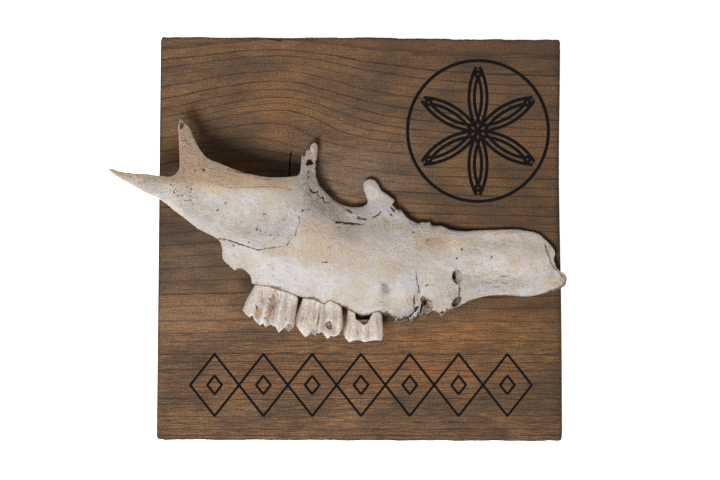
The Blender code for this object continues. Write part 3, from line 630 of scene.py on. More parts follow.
def blister_tree():
    """Geometry nodes that set a low, uneven blister at every step along the burnt lines."""
    tree, given, stepped, blister, spread, turn, placed = begun_tree(
        "char_blisters", "GeometryNodeResampleCurve", "GeometryNodeMeshIcoSphere",
        "FunctionNodeRandomValue", "FunctionNodeRandomValue", "GeometryNodeInstanceOnPoints",
        Step=BLISTER_STEP * MM, Radius=MM, Seed=BLISTER_SEED,
    )
    stepped.mode = "LENGTH"
    blister.inputs["Subdivisions"].default_value = 1
    spread.data_type = turn.data_type = "FLOAT_VECTOR"
    spread.inputs[0].default_value = BLISTER_LEAST
    spread.inputs[1].default_value = BLISTER_MOST
    turn.inputs[1].default_value = (0, 0, math.tau)
    link = tree.links.new
    link(given.outputs["Geometry"], stepped.inputs["Curve"])
    link(given.outputs["Step"], stepped.inputs["Length"])
    link(given.outputs["Radius"], blister.inputs["Radius"])
    link(given.outputs["Seed"], spread.inputs["Seed"])
    link(given.outputs["Seed"], turn.inputs["Seed"])
    link(stepped.outputs["Curve"], placed.inputs["Points"])
    link(blister.outputs["Mesh"], placed.inputs["Instance"])
    link(turn.outputs[0], placed.inputs["Rotation"])
    link(spread.outputs[0], placed.inputs["Scale"])
    return ended_tree(tree, given, placed.outputs["Instances"])


def grown(name, start, tree, **inputs):
    """What a node tree makes of an object, as a plain piece of its own."""
    nodes = start.modifiers.new(name, "NODES")
    nodes.node_group = tree
    for socket in tree.interface.items_tree:
        if socket.in_out == "INPUT" and socket.name in inputs:
            nodes[socket.identifier] = inputs[socket.name]
    bpy.context.scene.collection.objects.link(start)
    bpy.context.view_layer.update()
    shaped = start.evaluated_get(bpy.context.evaluated_depsgraph_get())
    mesh = bpy.data.meshes.new_from_object(shaped)
    mesh.name = name
    start.modifiers.remove(nodes)
    bpy.data.objects.remove(start)
    made = bpy.data.objects.new(name, mesh)
    bpy.context.scene.collection.objects.link(made)
    return made


def curve_of(name, lines):
    """A curve object with a run of points for each line: its places, its height, its half width."""
    curve = bpy.data.curves.new(name, "CURVE")
    curve.dimensions = "3D"
    for path, heights, halves in lines:
        spline = curve.splines.new("POLY")
        spline.points.add(len(path) - 1)
        for point, (x, y), z, half in zip(spline.points, path, heights, halves):
            point.co = (x * MM, y * MM, z * MM, 1)
            point.radius = half
    return bpy.data.objects.new(name, curve)


for name, half in (("rosette_char", ROSETTE_WIDTH / 2), ("chain_char", CHAIN_WIDTH / 2)):
    paths = [path for path, own in burnt if own == half]
    level = BOARD_THICK - BLISTER_SINK
    start = curve_of(name, [(path, np.full(len(path), level), np.ones(len(path))) for path in paths])
    made = grown(
        name, start, blister_tree(), Finish=char.material,
        Radius=half * BLISTER_WIDTH * MM, Step=half * BLISTER_SPACING * MM,
    )
    declare(made)

# The upper jaw is one thin-walled bone, bleached outside and stained ochre above. It stands on the
# edge of its palate, glued to the board, and its front end, sockets and upper edge are broken. Its
# lower border holds the teeth.
JAW_CORNER = (-70.5, 0.5)
THREE_BONES = (-28.8, 14.9)
ORBIT_CORNER = (-31, 32)
NOTCH_CORNER = (1.3, 16.6)
JAW_TOP_EDGE = (
    NOTCH_CORNER, (3.7, 18.6), (2.9, 22.1), (1.7, 25.5), (1.6, 28.1), (3.2, 30.1), (5.2, 30.5),
    (7.5, 29.8), (9.2, 27.8), (10.4, 25.3), (14.1, 22.5), (17.3, 20), (18.2, 18), (19.2, 16.2),
    (21, 14.7), (23.1, 12.1), (25, 10.3), (28, 9.2), (29.3, 8.6), (30.6, 9.3), (33.2, 9),
    (34.9, 9.2), (35.9, 7.4), (41, 7), (45, 5.3), (51.4, 4.5), (60.5, 5), (69.5, 5.3), (78.6, 5.4),
    (85, 4.4), (88.9, 3.3), (91.9, 0.9), (95.2, -2.5), (97.5, -6.2), (97, -9.5), (98.5, -14),
    (101.8, -16.5), (103.4, -19), (102.4, -22.7), (99.3, -24.7),
)
JAW_LOWER_EDGE = (
    (99.3, -24.7), (92, -26.6), (83.2, -28.4), (74, -27.7), (65, -27.7), (57.7, -29.5),
    (52.2, -31.8), (46.5, -34.8), (43.3, -36.4), (40.4, -38.7), (36.9, -36.7), (32.8, -38.6),
    (28.6, -38.9), (25.4, -42.1), (22.2, -39.6), (17.8, -41.3), (14.9, -38.9), (11.3, -37.2),
    (8.4, -35.5), (3.9, -37.5), (-0.3, -37.5), (-3.3, -35.7), (-8.4, -33.2), (-14.6, -30.1),
    (-18.1, -31.4), (-22.2, -29.4), (-26.8, -28.9), (-32.9, -27), (-36, -25.5), (-41, -24.3),
    (-44.7, -23), (-49.8, -22.4), (-53.6, -21.7),
)
JAW_KNOB_EDGE = (
    (-53.6, -21.7), (-54.8, -17.7), (-59, -14.3), (-61.7, -15.3), (-63.8, -14.2), (-66.1, -12),
    (-68.2, -9.2), (-68.3, -5.3), (-68.9, -1.8), JAW_CORNER,
)
CHEEK_SUTURE = (
    JAW_CORNER, (-66.3, 0.3), (-61.7, -1.2), (-56.7, -2.8), (-50.2, -4.8), (-44.9, -3.9),
    (-36.5, -2.7), (-34.5, 0), (-32.2, 1.5), (-31.5, 5.3), (-29.9, 8.3), (-30.3, 11.5), THREE_BONES,
)
TEAR_SUTURE = (
    THREE_BONES, (-25, 15.6), (-21, 14.1), (-18, 13), (-14.3, 10.5), (-11, 9), (-5, 8.6), (1.5, 8),
    (3.5, 10.5), (2.6, 13.5), NOTCH_CORNER,
)
# How far the bones' outer face stands over the board's face: x, y, height.
FACE_HEIGHTS = (
    (-125, 35, 45), (-108, 28, 46), (-96, 24, 46.5), (-86, 12, 44.5), (-71, 2, 42), (-80, 18, 43),
    (-58, 12, 39.5), (-40, 8, 38), (-92, 29, 47), (-70, 27, 44), (-42, 24.5, 37), (-79, 43, 37),
    (-62, 35, 38), (-40, 31, 33), (-87, 47, 34.5), (-89, 60, 25), (-26, 28, 24), (-26, 38, 17),
    (-22.5, 48, 11), (-14, 14, 20.5), (-12.5, 19.5, 10), (-28.8, 14.9, 33), (-3, 11, 17),
    (-3.5, 16.5, 8.5), (8, 17, 11), (5, 30, 6.5), (-20, 4, 33.5), (5, 4, 27), (-52, -6, 41.5),
    (-30, -8, 38.5), (-8, -10, 34.5), (8, -14, 31), (-64, -8, 36), (-66, -13, 31), (-46, -19, 36),
    (-20, -27, 33.5), (2, -35, 29), (22, -38, 23.5), (38, -35, 16), (22, -22, 26.5),
    (45, -16, 18.5), (45, -3, 15), (20, 13, 10), (30, 7, 8.5), (60, 4, 6.5), (86, 3, 5.5),
    (72, -8, 14.5), (70, -27, 9), (95, -24, 8), (94, -10, 10.5), (103, -20, 8),
)
# Swells of the outer face: a run of points, how high the swell rises, and how wide it is.
SWELLS = (
    (((-96, 28), (-70, 27.5), (-45, 25.5)), 1, 4),
    (((-105, 24.5), (-86, 12.5), (-70, 3), (-52, -5.5)), 1.2, 4),
    (((-50, -18), (-46, -9)), 0.8, 4.5), (((-27, -26), (-25, -15)), 0.8, 4.5),
    (((-14, -27), (-13, -17)), 0.8, 4), (((-5, -33), (-4, -22)), 0.8, 4),
    (((9, -33), (9, -22)), 0.8, 4),
)
# Small hollows and swells over that, seen from the front: x, y, half width, half height, lean, rise.
JAW_FORMS = (
    (22, -26.5, 3.6, 6.5, 8, 1.1), (40, -25, 5.5, 7, 0, 1), (5, 26, 3.2, 4, 10, 1),
    (14, -27.5, 3.2, 8, 0, -0.5), (32, -20, 2.2, 6, -12, -0.7), (-4, 4, 9, 4, -10, -0.7),
    (-33, -13, 3, 7, 10, -0.3), (-9, -20, 2.5, 6, 5, -0.25), (55, -20, 7, 4.5, 0, -0.8),
    (-60, -9, 3.5, 4, 0, -0.5), (12, 14.5, 4, 3.5, 0, 0.6), (20, 11, 3, 2, -40, -0.5),
    (80, -3, 10, 5, 0, 0.4), (66, 0.5, 8, 3, 0, -0.3), (96, -16, 3, 5, 20, -0.5),
)
# The edge where the snout's outer layer of bone has flaked away from the one below it.
SNOUT_BREAK = (
    (92.2, -2.2), (93.3, -5.5), (94.2, -7.8), (94.9, -11), (96.5, -13.5), (98, -15), (101.3, -18.7),
)
# Cracks: a run of points, half width, depth, darkness. The darkness is soil together with painted
# shade in the crack; the two darkest runs, along the tear bone's open seam, are painted shadow in
# that gap.
JAW_CRACKS = (
    (((6.4, 11.3), (8.2, 11.9), (9.6, 12.9), (10.4, 14)), 0.45, 0.7, 0.95),
    (((27.8, -14.9), (28.1, -17.4), (28.5, -19.9), (28.7, -21.9)), 0.3, 0.5, 0.6),
    (((27.2, -27.5), (26.9, -29.9), (27.4, -31.9)), 0.35, 1, 0.9),
    (((28.3, -18), (28.6, -21.9), (29.4, -24.4), (29.7, -26.5)), 0.4, 0.7, 0.6),
    (((28.9, -33.3), (26.6, -35.6), (24.4, -38), (22.5, -40.2)), 0.9, 2.5, 1.1),
    (((49.6, -22.4), (49.8, -24.4), (49.4, -26.4), (49.6, -28.3)), 0.35, 0.6, 0.8),
    (((6, -4.5), (7.7, -4.6), (8.9, -5.2)), 0.45, 0.25, 0.45),
    (((0.5, -6.2), (2.2, -6.1)), 0.35, 0.15, 0.35),
    (((69.8, -17.9), (72.7, -18.1), (74.7, -17.8)), 0.3, 0.25, 0.7),
    (((67.3, -23.4), (69.3, -23.5)), 0.3, 0.2, 0.65),
    (((70.3, -21.4), (73.3, -21.6)), 0.28, 0.2, 0.65),
    (((62.8, -21.4), (66.3, -21.4)), 0.28, 0.2, 0.65),
    (((50.3, -17.7), (54.8, -18.1), (59.8, -18.4)), 0.35, 0.15, 0.4),
    (((58.8, -25.2), (65.8, -25.7)), 0.25, 0.15, 0.45),
    (((75.8, -22.6), (81.8, -23)), 0.2, 0.15, 0.35),
    (((54.8, -15.7), (61.8, -16.1)), 0.2, 0.12, 0.25),
    (((62.8, -19.7), (68.3, -20.1)), 0.2, 0.15, 0.35),
    (((76.8, -19.7), (80.3, -19.9)), 0.2, 0.15, 0.35),
    (((52.8, -13.4), (56.8, -13.9)), 0.25, 0.15, 0.25),
    (((12.3, -25.8), (11.7, -29.3), (12.4, -32.3), (11.9, -35.3)), 0.8, 0.35, 0.12),
    (((15.4, -26.3), (15.9, -29.3), (15.4, -32.3)), 0.5, 0.25, 0.12),
    (((-11.2, 9), (-8.5, 9), (-6.2, 8.8)), 0.95, 1.2, 1.6),
    (((-4.2, 8.4), (-1.5, 8.3), (1.2, 8.1)), 0.85, 1.2, 1.5), (SNOUT_BREAK, 0.3, 0.3, 0.8),
    (((26.1, 8.1), (28.4, 7.9), (30.4, 8)), 0.25, 0.4, 0.6),
    (((-5.2, -34), (-4, -36.2), (-2.7, -38)), 0.3, 0.2, 0.2),
)
# Pits: x, y, half width, half height, lean, depth, darkness. The darkness is painted shade in the
# pit, with some soil.
JAW_PITS = (
    (-16.6, -11, 0.5, 0.35, 0, 0.5, 1), (-18.5, -10.9, 0.4, 0.35, 0, 0.5, 1),
    (-17.5, -11.1, 0.3, 0.25, 0, 0.4, 0.9), (-50.5, -4.7, 0.85, 0.7, -25, 0.5, 0.75),
    (-43.1, -14.2, 0.6, 0.5, 0, 0.2, 0.4), (-31.7, -19.3, 0.4, 0.6, 0, 0.25, 0.5),
    (-17.1, -26.8, 0.45, 0.4, 0, 0.35, 0.6), (-16.9, -28.3, 0.3, 0.3, 0, 0.2, 0.4),
    (-25.8, -24.3, 0.75, 0.4, -15, 0.2, 0.4), (-10.4, 6.5, 0.7, 0.4, 25, 0.25, 0.45),
    (26.4, 3.9, 0.65, 0.45, 30, 0.6, 0.9), (33.9, 0, 1.3, 1.1, 30, 0.2, 0.4),
    (30.9, 3, 2.5, 1.2, 15, 0.15, 0.15), (50.8, -4.6, 0.65, 0.9, -20, 0.5, 0.85),
    (48.3, -9.1, 0.5, 0.6, 0, 0.4, 0.9), (65.5, -8.5, 0.45, 0.9, -25, 0.3, 0.85),
    (65.7, -13.9, 0.3, 0.5, 0, 0.25, 0.5), (12.9, -24.1, 2, 2.2, 0, 0.7, 0.28),
    (11.9, -22.1, 1.2, 0.35, 20, 0.4, 0.65), (10.2, -30.8, 1.2, 0.35, 5, 0.25, 0.4),
    (61, -21.1, 0.4, 1, 0, 0.2, 0.4), (33.2, -22.5, 0.95, 0.45, 25, 0.4, 0.7),
    (40.9, -35.9, 0.65, 0.55, 0, 1.2, 1), (43.3, -34.4, 0.55, 0.4, -30, 0.6, 0.8),
    (15.5, 12.6, 0.9, 0.45, -30, 0.9, 0.9), (16.4, 15.2, 1.8, 0.6, -48, 1.4, 0.8),
    (19.4, 14.9, 1.2, 0.45, -42, 1, 0.6), (0, 11.3, 1.1, 0.75, -20, 1, 1),
    (1.9, 10.8, 1.3, 0.65, 5, 1, 1), (-28.5, 14.5, 0.55, 0.65, 0, 0.6, 0.95),
    (-25.3, 15.1, 0.6, 0.3, -15, 0.4, 0.6), (-62.6, -2.7, 0.6, 0.45, -25, 0.5, 0.9),
    (-6.9, -5.9, 0.3, 0.25, 0, 0.2, 0.4), (-11.9, -10.9, 0.3, 0.3, 0, 0.15, 0.4),
    (-3.5, -11.4, 0.25, 0.25, 0, 0.15, 0.4), (-59.5, -14.9, 1.1, 0.45, -20, 0.25, 0.15),
    (-62.5, -10.9, 0.7, 0.5, 0, 0.3, 0.1), (-64.9, -7.9, 0.6, 0.8, 0, 0.3, 0.1),
    (-54.5, -19.3, 0.65, 0.45, 0, 0.4, 0.5), (-51.3, -21.1, 0.8, 0.4, 10, 0.4, 0.5),
    (-56, -16.9, 0.5, 0.4, 0, 0.3, 0.3), (18.2, 16.9, 1.8, 1.1, -45, 2.5, 1),
    (17.4, 18.3, 0.7, 1.6, -48, 1.6, 1.2),
)
# The nerve's opening, the gap it ends in, and what is left of the lost teeth's sockets, given as
# pits are; their darkness is mostly painted shade inside the holes.
JAW_HOLES = (
    (46.9, -17.9, 0.9, 2.3, -4, 6, 1), (47.6, -20.4, 0.8, 1.7, 33, 2.8, 0.65),
    (48.6, -18, 2.3, 4, 4, 2.4, 0.42), (49.7, -24.1, 0.8, 0.5, -20, 0.5, 0.4),
    (49.5, -25.4, 0.45, 0.6, 0, 0.8, 0.8), (48.1, -30.8, 3.2, 1.8, 50, 2.6, 0.75),
    (47.6, -30.1, 1.5, 0.5, 52, 4.5, 1), (47.2, -32.2, 1.2, 0.7, 25, 4.2, 1),
    (49.4, -29.6, 1.6, 0.5, 65, 2.6, 0.8), (31.3, -29.4, 1.1, 1.6, -25, 2.8, 0.75),
    (32.5, -31.3, 0.75, 1.7, -8, 6, 1.1), (30.9, -32.6, 0.6, 3.4, -14, 4, 0.9),
    (32.4, -34.6, 0.9, 2.8, -12, 2.4, 0.6), (34.3, -34.6, 0.6, 3, 8, 1.9, 0.55),
    (35.9, -35.6, 0.5, 2.2, 14, 1.4, 0.5), (29.4, -37, 1.2, 1.4, 30, 2.2, 0.7),
    (33, -33.8, 3.6, 5.2, -10, 1, 0.5), (37.6, -36.4, 2, 1, 0, 0.8, 0.5),
    (33.6, -33, 0.45, 0.8, 0, 1.6, 0.9), (32, -36.6, 0.5, 0.8, 20, 1.6, 0.9),
    (35.2, -36.8, 0.5, 0.6, 0, 1.2, 0.85), (30.4, -35.6, 0.45, 0.9, 0, 1.6, 0.9),
    (33.9, -30.2, 0.4, 0.6, 0, 1, 0.8), (26.7, -31.5, 0.35, 2.6, 6, 0.6, 0.6),
    (29.2, -24, 0.3, 2.6, 6, 0.4, 0.5), (12.6, -37, 1.3, 1, 0, 2, 0.95),
    (14.3, -38.2, 1.5, 0.9, -30, 2.2, 1), (16.3, -39.3, 1.1, 0.7, -20, 1.6, 0.95),
    (13.4, -35.8, 0.8, 0.7, 0, 1, 0.6), (19.6, -39.3, 0.9, 0.6, 10, 1, 0.7),
)
# Where the bone is stained tan, then where it is grey: x, y, half width, half height, lean, strength.
# The grey is mostly stain, but on the snout's lower, downward-facing side it is painted shade.
JAW_TAN = (
    (-22.3, 2.5, 11, 9, 20, 0.55), (-12.4, -5, 12, 5, 10, 0.45), (-27.2, -7.4, 10, 3, 0, 0.35),
    (-37.1, -5.9, 9, 2, 0, 0.4), (-4, -12.9, 7, 3.5, 0, 0.45), (5, -6, 12, 7, 0, 0.25),
    (-9.9, 5, 11, 4, -15, 0.4), (19.9, 6, 13, 4, 15, 0.25), (33.8, -0.5, 7, 4, 20, 0.65),
    (41, -4, 5, 4, -20, 0.3), (24.8, -10.9, 17, 6, 0, 0.25), (41.8, -3, 8, 3.5, 20, 0.3),
    (12.4, -14.9, 8, 3, 0, 0.3), (29.8, -30.3, 9, 3, 0, 0.3), (39.8, -34.4, 8, 2.5, -10, 0.3),
    (19.9, -31.3, 12, 3, 0, 0.25), (-14.9, -9.9, 4, 2, 0, 0.3), (-2, -21.3, 8, 5, 0, 0.15),
    (74.8, 2, 5.5, 2.5, 0, 0.4), (62.8, -2, 2.5, 2.5, 0, 0.35), (71.2, -3, 3.5, 2.5, 0, 0.25),
    (58.3, 2.5, 2.5, 2.5, 0, 0.25), (57.3, -1.5, 3.5, 2.5, 0, 0.2), (75.2, -11, 2, 2, 0, 0.25),
    (50.8, -2, 5, 4, 0, 0.2), (87.2, -11, 9, 8, 0, 0.25), (101.3, -20.5, 3, 3, 0, 0.85),
    (95.8, -22, 4.5, 2, 0, 0.4), (55.3, -11.9, 4, 1.5, 0, 0.3), (74, -9, 20, 8, 0, 0.2),
    (-55.5, -10.9, 5, 3, 0, 0.12), (-27.3, 8.9, 5, 5, 0, 0.35), (47.3, 2.5, 10, 3, 0, 0.2),
    (84.8, -1.5, 6, 3, -30, 0.2),
)
JAW_GREY = (
    (12.9, -24.3, 3, 4, 0, 1), (11.4, -31.3, 4.5, 3, 0, 0.2), (0, 0, 12, 4, -5, 0.3),
    (16.4, 0, 7, 3, 0, 0.2), (28.4, -28, 1.2, 5, -8, 0.4), (39.8, -22.9, 7, 5, 0, 0.25),
    (54.8, -21.4, 9, 5.5, 0, 0.5), (72, -21.5, 18, 5, 0, 0.45), (97.7, -11, 3, 7, -25, 0.5),
    (93.7, -5, 2, 4, -20, 0.5), (-64.5, -10.9, 8, 5, 0, 0.2), (-27.3, -24.8, 8, 4, 0, 0.15),
    (7.5, 7.5, 7, 2.5, 0, 0.35), (-1, 5.5, 8, 2.5, 0, 0.35), (-5, -29.8, 7, 4, 0, 0.2),
    (17.4, -38.8, 6, 2.5, 0, 0.5),
)
# Where the broken edges are ragged, then where the seams are dark, given in the same way.
JAW_RAGGED = (
    (28, 9, 6, 3, 0, 0.9), (18, 16.5, 5, 4, 0, 0.8), (16, -40, 9, 4, 0, 1), (30, -38, 9, 4, 0, 1),
    (48, -33, 9, 4, 0, 0.6), (-62, -14, 9, 4, 0, 0.9), (98, -16, 6, 9, 0, 0.6),
    (2, -37, 8, 2, 0, 0.5),
)
SEAM_SOIL = (
    (-69, 0.6, 3.5, 2, 0, 0.9), (-62, -1.2, 6, 2, 0, 0.95), (-57, -2.6, 6, 2, 0, 0.6),
    (-51, -4.7, 3.5, 2, 0, 0.7), (-43, -3.7, 7, 1.5, 0, 0.6), (-35.5, -1.5, 2.5, 3, 0, 0.65),
    (-31.4, 4, 1.5, 3, 0, 0.65), (-30, 10, 1.5, 4, 0, 0.6), (-27, 15.3, 3, 1.5, 0, 0.5),
    (-17.5, 12.6, 6, 2.5, 0, 0.4), (-9.8, 8.8, 3.6, 1.2, 0, 1.1), (-1.5, 8.2, 3.4, 1.2, 0, 1.1),
    (-5, 8.5, 2, 1, 0, 0.7),
)
# Where the broken edges are brown and spongy.
EDGE_SOIL = (
    (14, -37.5, 5, 4, 0, 1.3), (24, -40, 6, 4, 0, 1.2), (36, -37, 7, 3.5, 0, 1.2),
    (45, -34, 5, 3, 0, 0.7), (29, 8.5, 4, 2, 0, 0.5), (18, 16, 2, 2, 0, 0.7),
    (-64, -14, 5, 3, 0, 0.3), (102, -20, 3, 5, 0, 0.7), (97, -24.5, 6, 3, 0, 0.8),
    (80, -28, 14, 2.5, 0, 0.45), (56, -30.5, 6, 2.5, 0, 0.6), (-60, 34, 7, 1.5, -8, 0.6),
    (-48, 31.8, 5, 1.5, 0, 0.4), (-82, 50, 3, 8, 0, 0.35), (-90, 59, 3, 3, 0, 0.5),
    (-41, -23.5, 12, 2, 10, 0.9), (-24, -29.5, 6, 2.5, 0, 0.9), (-8, -33.5, 6, 2.5, -20, 0.8),
    (2, -37, 6, 2, 0, 0.7),
)
# Where brown freckles are thick.
SPECKS = (
    (-92, 26, 6, 5, -30, 0.7), (-84, 21, 4, 5, 0, 0.8), (-87, 48, 5, 12, 0, 0.7),
    (-70, 33, 14, 4, -25, 0.4), (-108, 29, 10, 3, -30, 0.35), (-60, -10, 8, 5, 0, 0.25),
    (35, -1, 9, 5, 0, 0.4), (22, 6, 9, 4, 0, 0.3), (20, -35, 9, 3, 0, 0.5), (42, -33, 8, 3, 0, 0.5),
    (75, -2, 18, 4, 0, 0.25), (98, -21, 5, 4, 0, 0.4), (-24, 25, 5, 16, 20, 0.4),
    (-10, 14, 9, 3, -15, 0.3), (36, -28, 4, 5, 0, 0.4), (-45, 5, 8, 5, 0, 0.25),
)
# Where the bone is lighter or darker: partly bleached more or less by the weather, and partly
# painted light and painted shade, lighter on the tear bone's rim, in the notch beside it and along
# the snout's upper edge, darker on the snout's lower, downward-facing side.
BLEACH_AND_SHADE = (
    (-13, 20, 12, 4, -42, 0.4), (-21.5, 33, 2.5, 12, 0, 0.3), (75, 2, 24, 3.5, 0, 0.24),
    (15, 13, 12, 5, -40, 0.25), (-46, -17, 12, 5, -15, -0.05), (72, -23, 24, 4, 0, -0.08),
    (-88, 17, 14, 6, -35, 0.12), (-62, 12, 8, 4, 0, 0.06), (-22, -2, 12, 7, 0, 0.08),
    (-96, 33, 8, 5, 0, -0.3), (18, -3, 14, 9, 0, 0.12), (47, -1.5, 5, 4.5, 0, 0.38),
    (20, 10, 6, 4, 0, 0.16), (-12, -4, 6, 4, 0, 0.06), (24, -4, 6, 4, 0, 0.07),
    (5, 26, 5, 5, 0, -0.16), (-57.5, -6, 6, 3, 0, -0.08), (-35, -22, 12, 3, -15, -0.05),
    (-19, 2, 12, 9, 0, 0.05), (20, -1.5, 8, 4, 0, 0.05), (-65, 9, 7, 5, 0, 0.2),
    (-82, 15, 7, 4, -25, 0.05), (-75, 3.5, 16, 3, -30, -0.22), (-69, -6, 2.5, 6, 0, -0.2),
    (-36, 10, 6, 5, 0, -0.1), (-17, 7, 11, 4.5, -10, 0.15), (7, 8, 8, 4.5, 0, 0.2),
    (27, 2, 13, 5, 0, 0.2), (-7, 14, 9, 3.5, -20, 0.4), (62, 0, 14, 5, 0, 0.1),
    (-44, 24, 14, 2.5, 0, -0.06), (1, -8, 8, 5, 0, -0.09), (28.4, -28, 1.2, 4.5, -8, 0.16),
    (20, -38, 9, 2.5, 0, -0.1), (-57, -21, 5, 5, 0, -0.1), (50.5, -29, 5, 3, 0, -0.14),
    (74, -9, 20, 8, 0, 0.04),
)
# Where the bone's surface is coarse and porous.
COARSE = (
    (-87, 46, 6, 16, 4, 1), (-77, 35, 14, 4, -28, 0.8), (-25, 34, 6, 18, 5, 1),
    (-19, 20, 9, 6, -40, 1), (-7, 13.5, 10, 4, -10, 1), (-109, 30, 15, 4, -25, 0.7),
    (14, 13, 9, 6, -35, 0.5), (24, -37, 18, 4, 0, 0.8), (45, -30, 9, 6, 0, 0.5),
    (-60, -13, 9, 5, 0, 0.4), (72, -21, 24, 5, 0, 0.35), (98, -17, 6, 9, 0, 0.4),
    (30, 5, 12, 4, 0, 0.35), (-88, 24, 7, 5, 0, 0.3),
)
BONE_NET = 0.55
EDGE_STEP = 0.6
EDGE_TAPER = 2.5
# Bites out of a free edge, then out of a ragged one: depth, size, and what sets them apart.
EDGE_BITES = ((0.3, 3.1, 0), (0.12, 1.1, 3))
RAGGED_BITES = ((1.1, 1.5, 5), (0.7, 0.8, 7))
SEAM_STEP = 0.45
SEAM_SWAY = 0.28
SEAM_TAPER = 1.5
SEAM_INSET = 0.015
SEAM_HALF, SOILED_SEAM_HALF = 0.2, 0.4
SEAM_DEPTH, SOILED_SEAM_DEPTH = 0.02, 0.35
CRACK_STEP = 0.35
# The bone's own grain: the waves' size, their depth, how far they are stretched.
BONE_GRAIN = ((6, 0.32, (1, 1)), (2.4, 0.2, (1.5, 1)), (1.2, 0.12, (1, 1)), (1.1, 0.07, (3, 1)))
EDGE_RINGS = (0.12, 0.3, 0.6, 1)
EDGE_RADIUS = 0.75
EDGE_DROP = 0.7
EDGE_REACH = 3.0
BONE_WALL_ROWS = 7
BACK_NET = 2.2
BACK_CLEAR = 0.6
BACK_ROUNDING = 0.5
WALL_THICK = 3.6
WALL_LEAST = 1.0
RELIEF_DEPTH = 1.2
PALATE_CURVE = 2.4
CHEEK_FROM, CHEEK_REACH = -50.0, 8.0
PALATE_FOOT = (
    (94, -19), (75, -21), (55, -22.5), (35, -25), (15, -25.5), (-5, -24), (-25, -19), (-45, -13),
    (-55, -10),
)
FOOT_HALF = 1.9
FOOT_STEP = 1.1
FOOT_GAP = 0.3
NOSE_WALL = 7.5
NOSE_REACH = 15.0
SNOUT_LAYER = SNOUT_BREAK + ((106, -18), (106, -2), (93.5, 2))
LAYER_STEP = 1.0
LAYER_EDGE = 0.45
LIP_AT = (-56, -20, 5, 30, 50, 75, 100)
LIP_HEIGHT = (13.5, 13, 10, 6.5, 4.5, 3.5, 3)


def ramp_down(value, width):
    """One at zero, falling smoothly to nothing at the width."""
    return smooth_step(1 - value / width)


def taper(path, reach):
    """Zero at a path's two ends, one a little way in."""
    ends = (np.linalg.norm(path - end, axis=1) for end in (path[0], path[-1]))
    return smooth_step(np.minimum(*ends) / reach)


def worn_edge(points, ragged, seed):
    """A free edge of bone, nibbled inwards: a little everywhere, more where it is ragged."""
    path = smooth_path(points, EDGE_STEP)
    bite = sum(deep * np.maximum(waves(path, size, seed + n), 0) for deep, size, n in EDGE_BITES)
    torn = sum(deep * np.abs(waves(path, size, seed + n)) for deep, size, n in RAGGED_BITES)
    bite += np.clip(patches(path, ragged), 0, 1) * torn
    return path - sideways(path) * (bite * taper(path, EDGE_TAPER))[:, None]


def seam(points, seed):
    """A seam between two bones, with the small fingers that lock them together."""
    path = smooth_path(points, SEAM_STEP)
    swing = SEAM_SWAY * (waves(path, 1.3, seed) + 0.6 * waves(path, 0.6, seed + 2))
    return path + sideways(path) * (swing * taper(path, SEAM_TAPER))[:, None]


def inset(outline, distance):
    """A closed outline that turns left, moved inwards."""
    return outline + sideways(outline, closed=True) * distance


posts = np.array(FACE_HEIGHTS)


def bending(points):
    """How far each height post bends a thin plate at the points."""
    squared = ((points[:, None] - posts[None, :, :2]) ** 2).sum(2)
    return 0.5 * squared * np.log(np.maximum(squared, 1e-9))


flat_part = np.column_stack([np.ones(len(posts)), posts[:, :2]])
plate = np.block([[bending(posts[:, :2]), flat_part], [flat_part.T, np.zeros((3, 3))]])
plate_weights = np.linalg.solve(plate, np.concatenate([posts[:, 2], np.zeros(3)]))


def bone_face(points):
    """The smooth outer face that all three bones share: a thin plate bent through the heights."""
    height = np.hstack([bending(points), np.ones((len(points), 1)), points]) @ plate_weights
    for path, rise, width in SWELLS:
        away = near_to(points, path, 3 * width)
        height = height + rise * np.exp(-((away / width) ** 2))
    return height


def oval_rings(pits):
    """Guide points round each pit, so that its edge is cut cleanly."""
    made = []
    for x, y, across, up, lean, *_ in pits:
        turn = math.radians(lean)
        for share in (0.0, 0.5, 0.85, 1.15, 1.5):
            count = max(1, math.ceil(math.tau * share * max(across, up) / 0.32))
            around = np.arange(count) * math.tau / count
            u, v = share * across * np.cos(around), share * up * np.sin(around)
            column = x + u * math.cos(turn) - v * math.sin(turn)
            made.append(np.column_stack([column, y + u * math.sin(turn) + v * math.cos(turn)]))
    return made


def shaken(points, size, sway):
    """The points moved a little each way, so that what is drawn at them comes out uneven."""
    return points + sway * np.column_stack([waves(points, size, 12.0), waves(points, size, 14.0)])


def pitted(points, pits, sway=0.3):
    """How deep the pits sink the surface, and how dark they are: painted shade in each pit, with some
    soil.
    """
    points = shaken(points, 0.8, sway)
    sink, soil = np.zeros(len(points)), np.zeros(len(points))
    for *oval, depth, dark in pits:
        out = np.hypot(*oval_place(points, *oval))
        sink = np.maximum(sink, depth * smooth_step((1.15 - out) / 0.6))
        soil = np.maximum(soil, dark * smooth_step((1.25 - out) / 0.55))
    return sink, soil


def cracked(points, cracks):
    """The same for cracks, which widen, narrow and break off here and there."""
    width = 0.45 + 0.9 * np.clip(0.6 + 1.3 * waves(points, 1.4, 16.0), 0, 1)
    points = shaken(points, 1.1, 0.35)
    sink, soil = np.zeros(len(points)), np.zeros(len(points))
    for path, half, depth, dark in cracks:
        away = near_to(points, path, 2.5 * half) / width
        sink = np.maximum(sink, depth * ramp_down(away, 1.1 * half))
        soil = np.maximum(soil, dark * ramp_down(away, 1.5 * half))
    return sink, soil


def crack_guides(cracks):
    """Guide points along each crack, down its middle and its sides."""
    shares = np.array((0, -0.5, 0.5, -1, 1, -1.6, 1.6))
    return [beside(smooth_path(path, CRACK_STEP), half * shares) for path, half, _, _ in cracks]


def broken_up(points, size, seed, most):
    """Smooth noise round one, which makes a width or a stain come and go."""
    return np.clip(1.0 + 0.9 * waves(points, size, seed), 0.3, most)


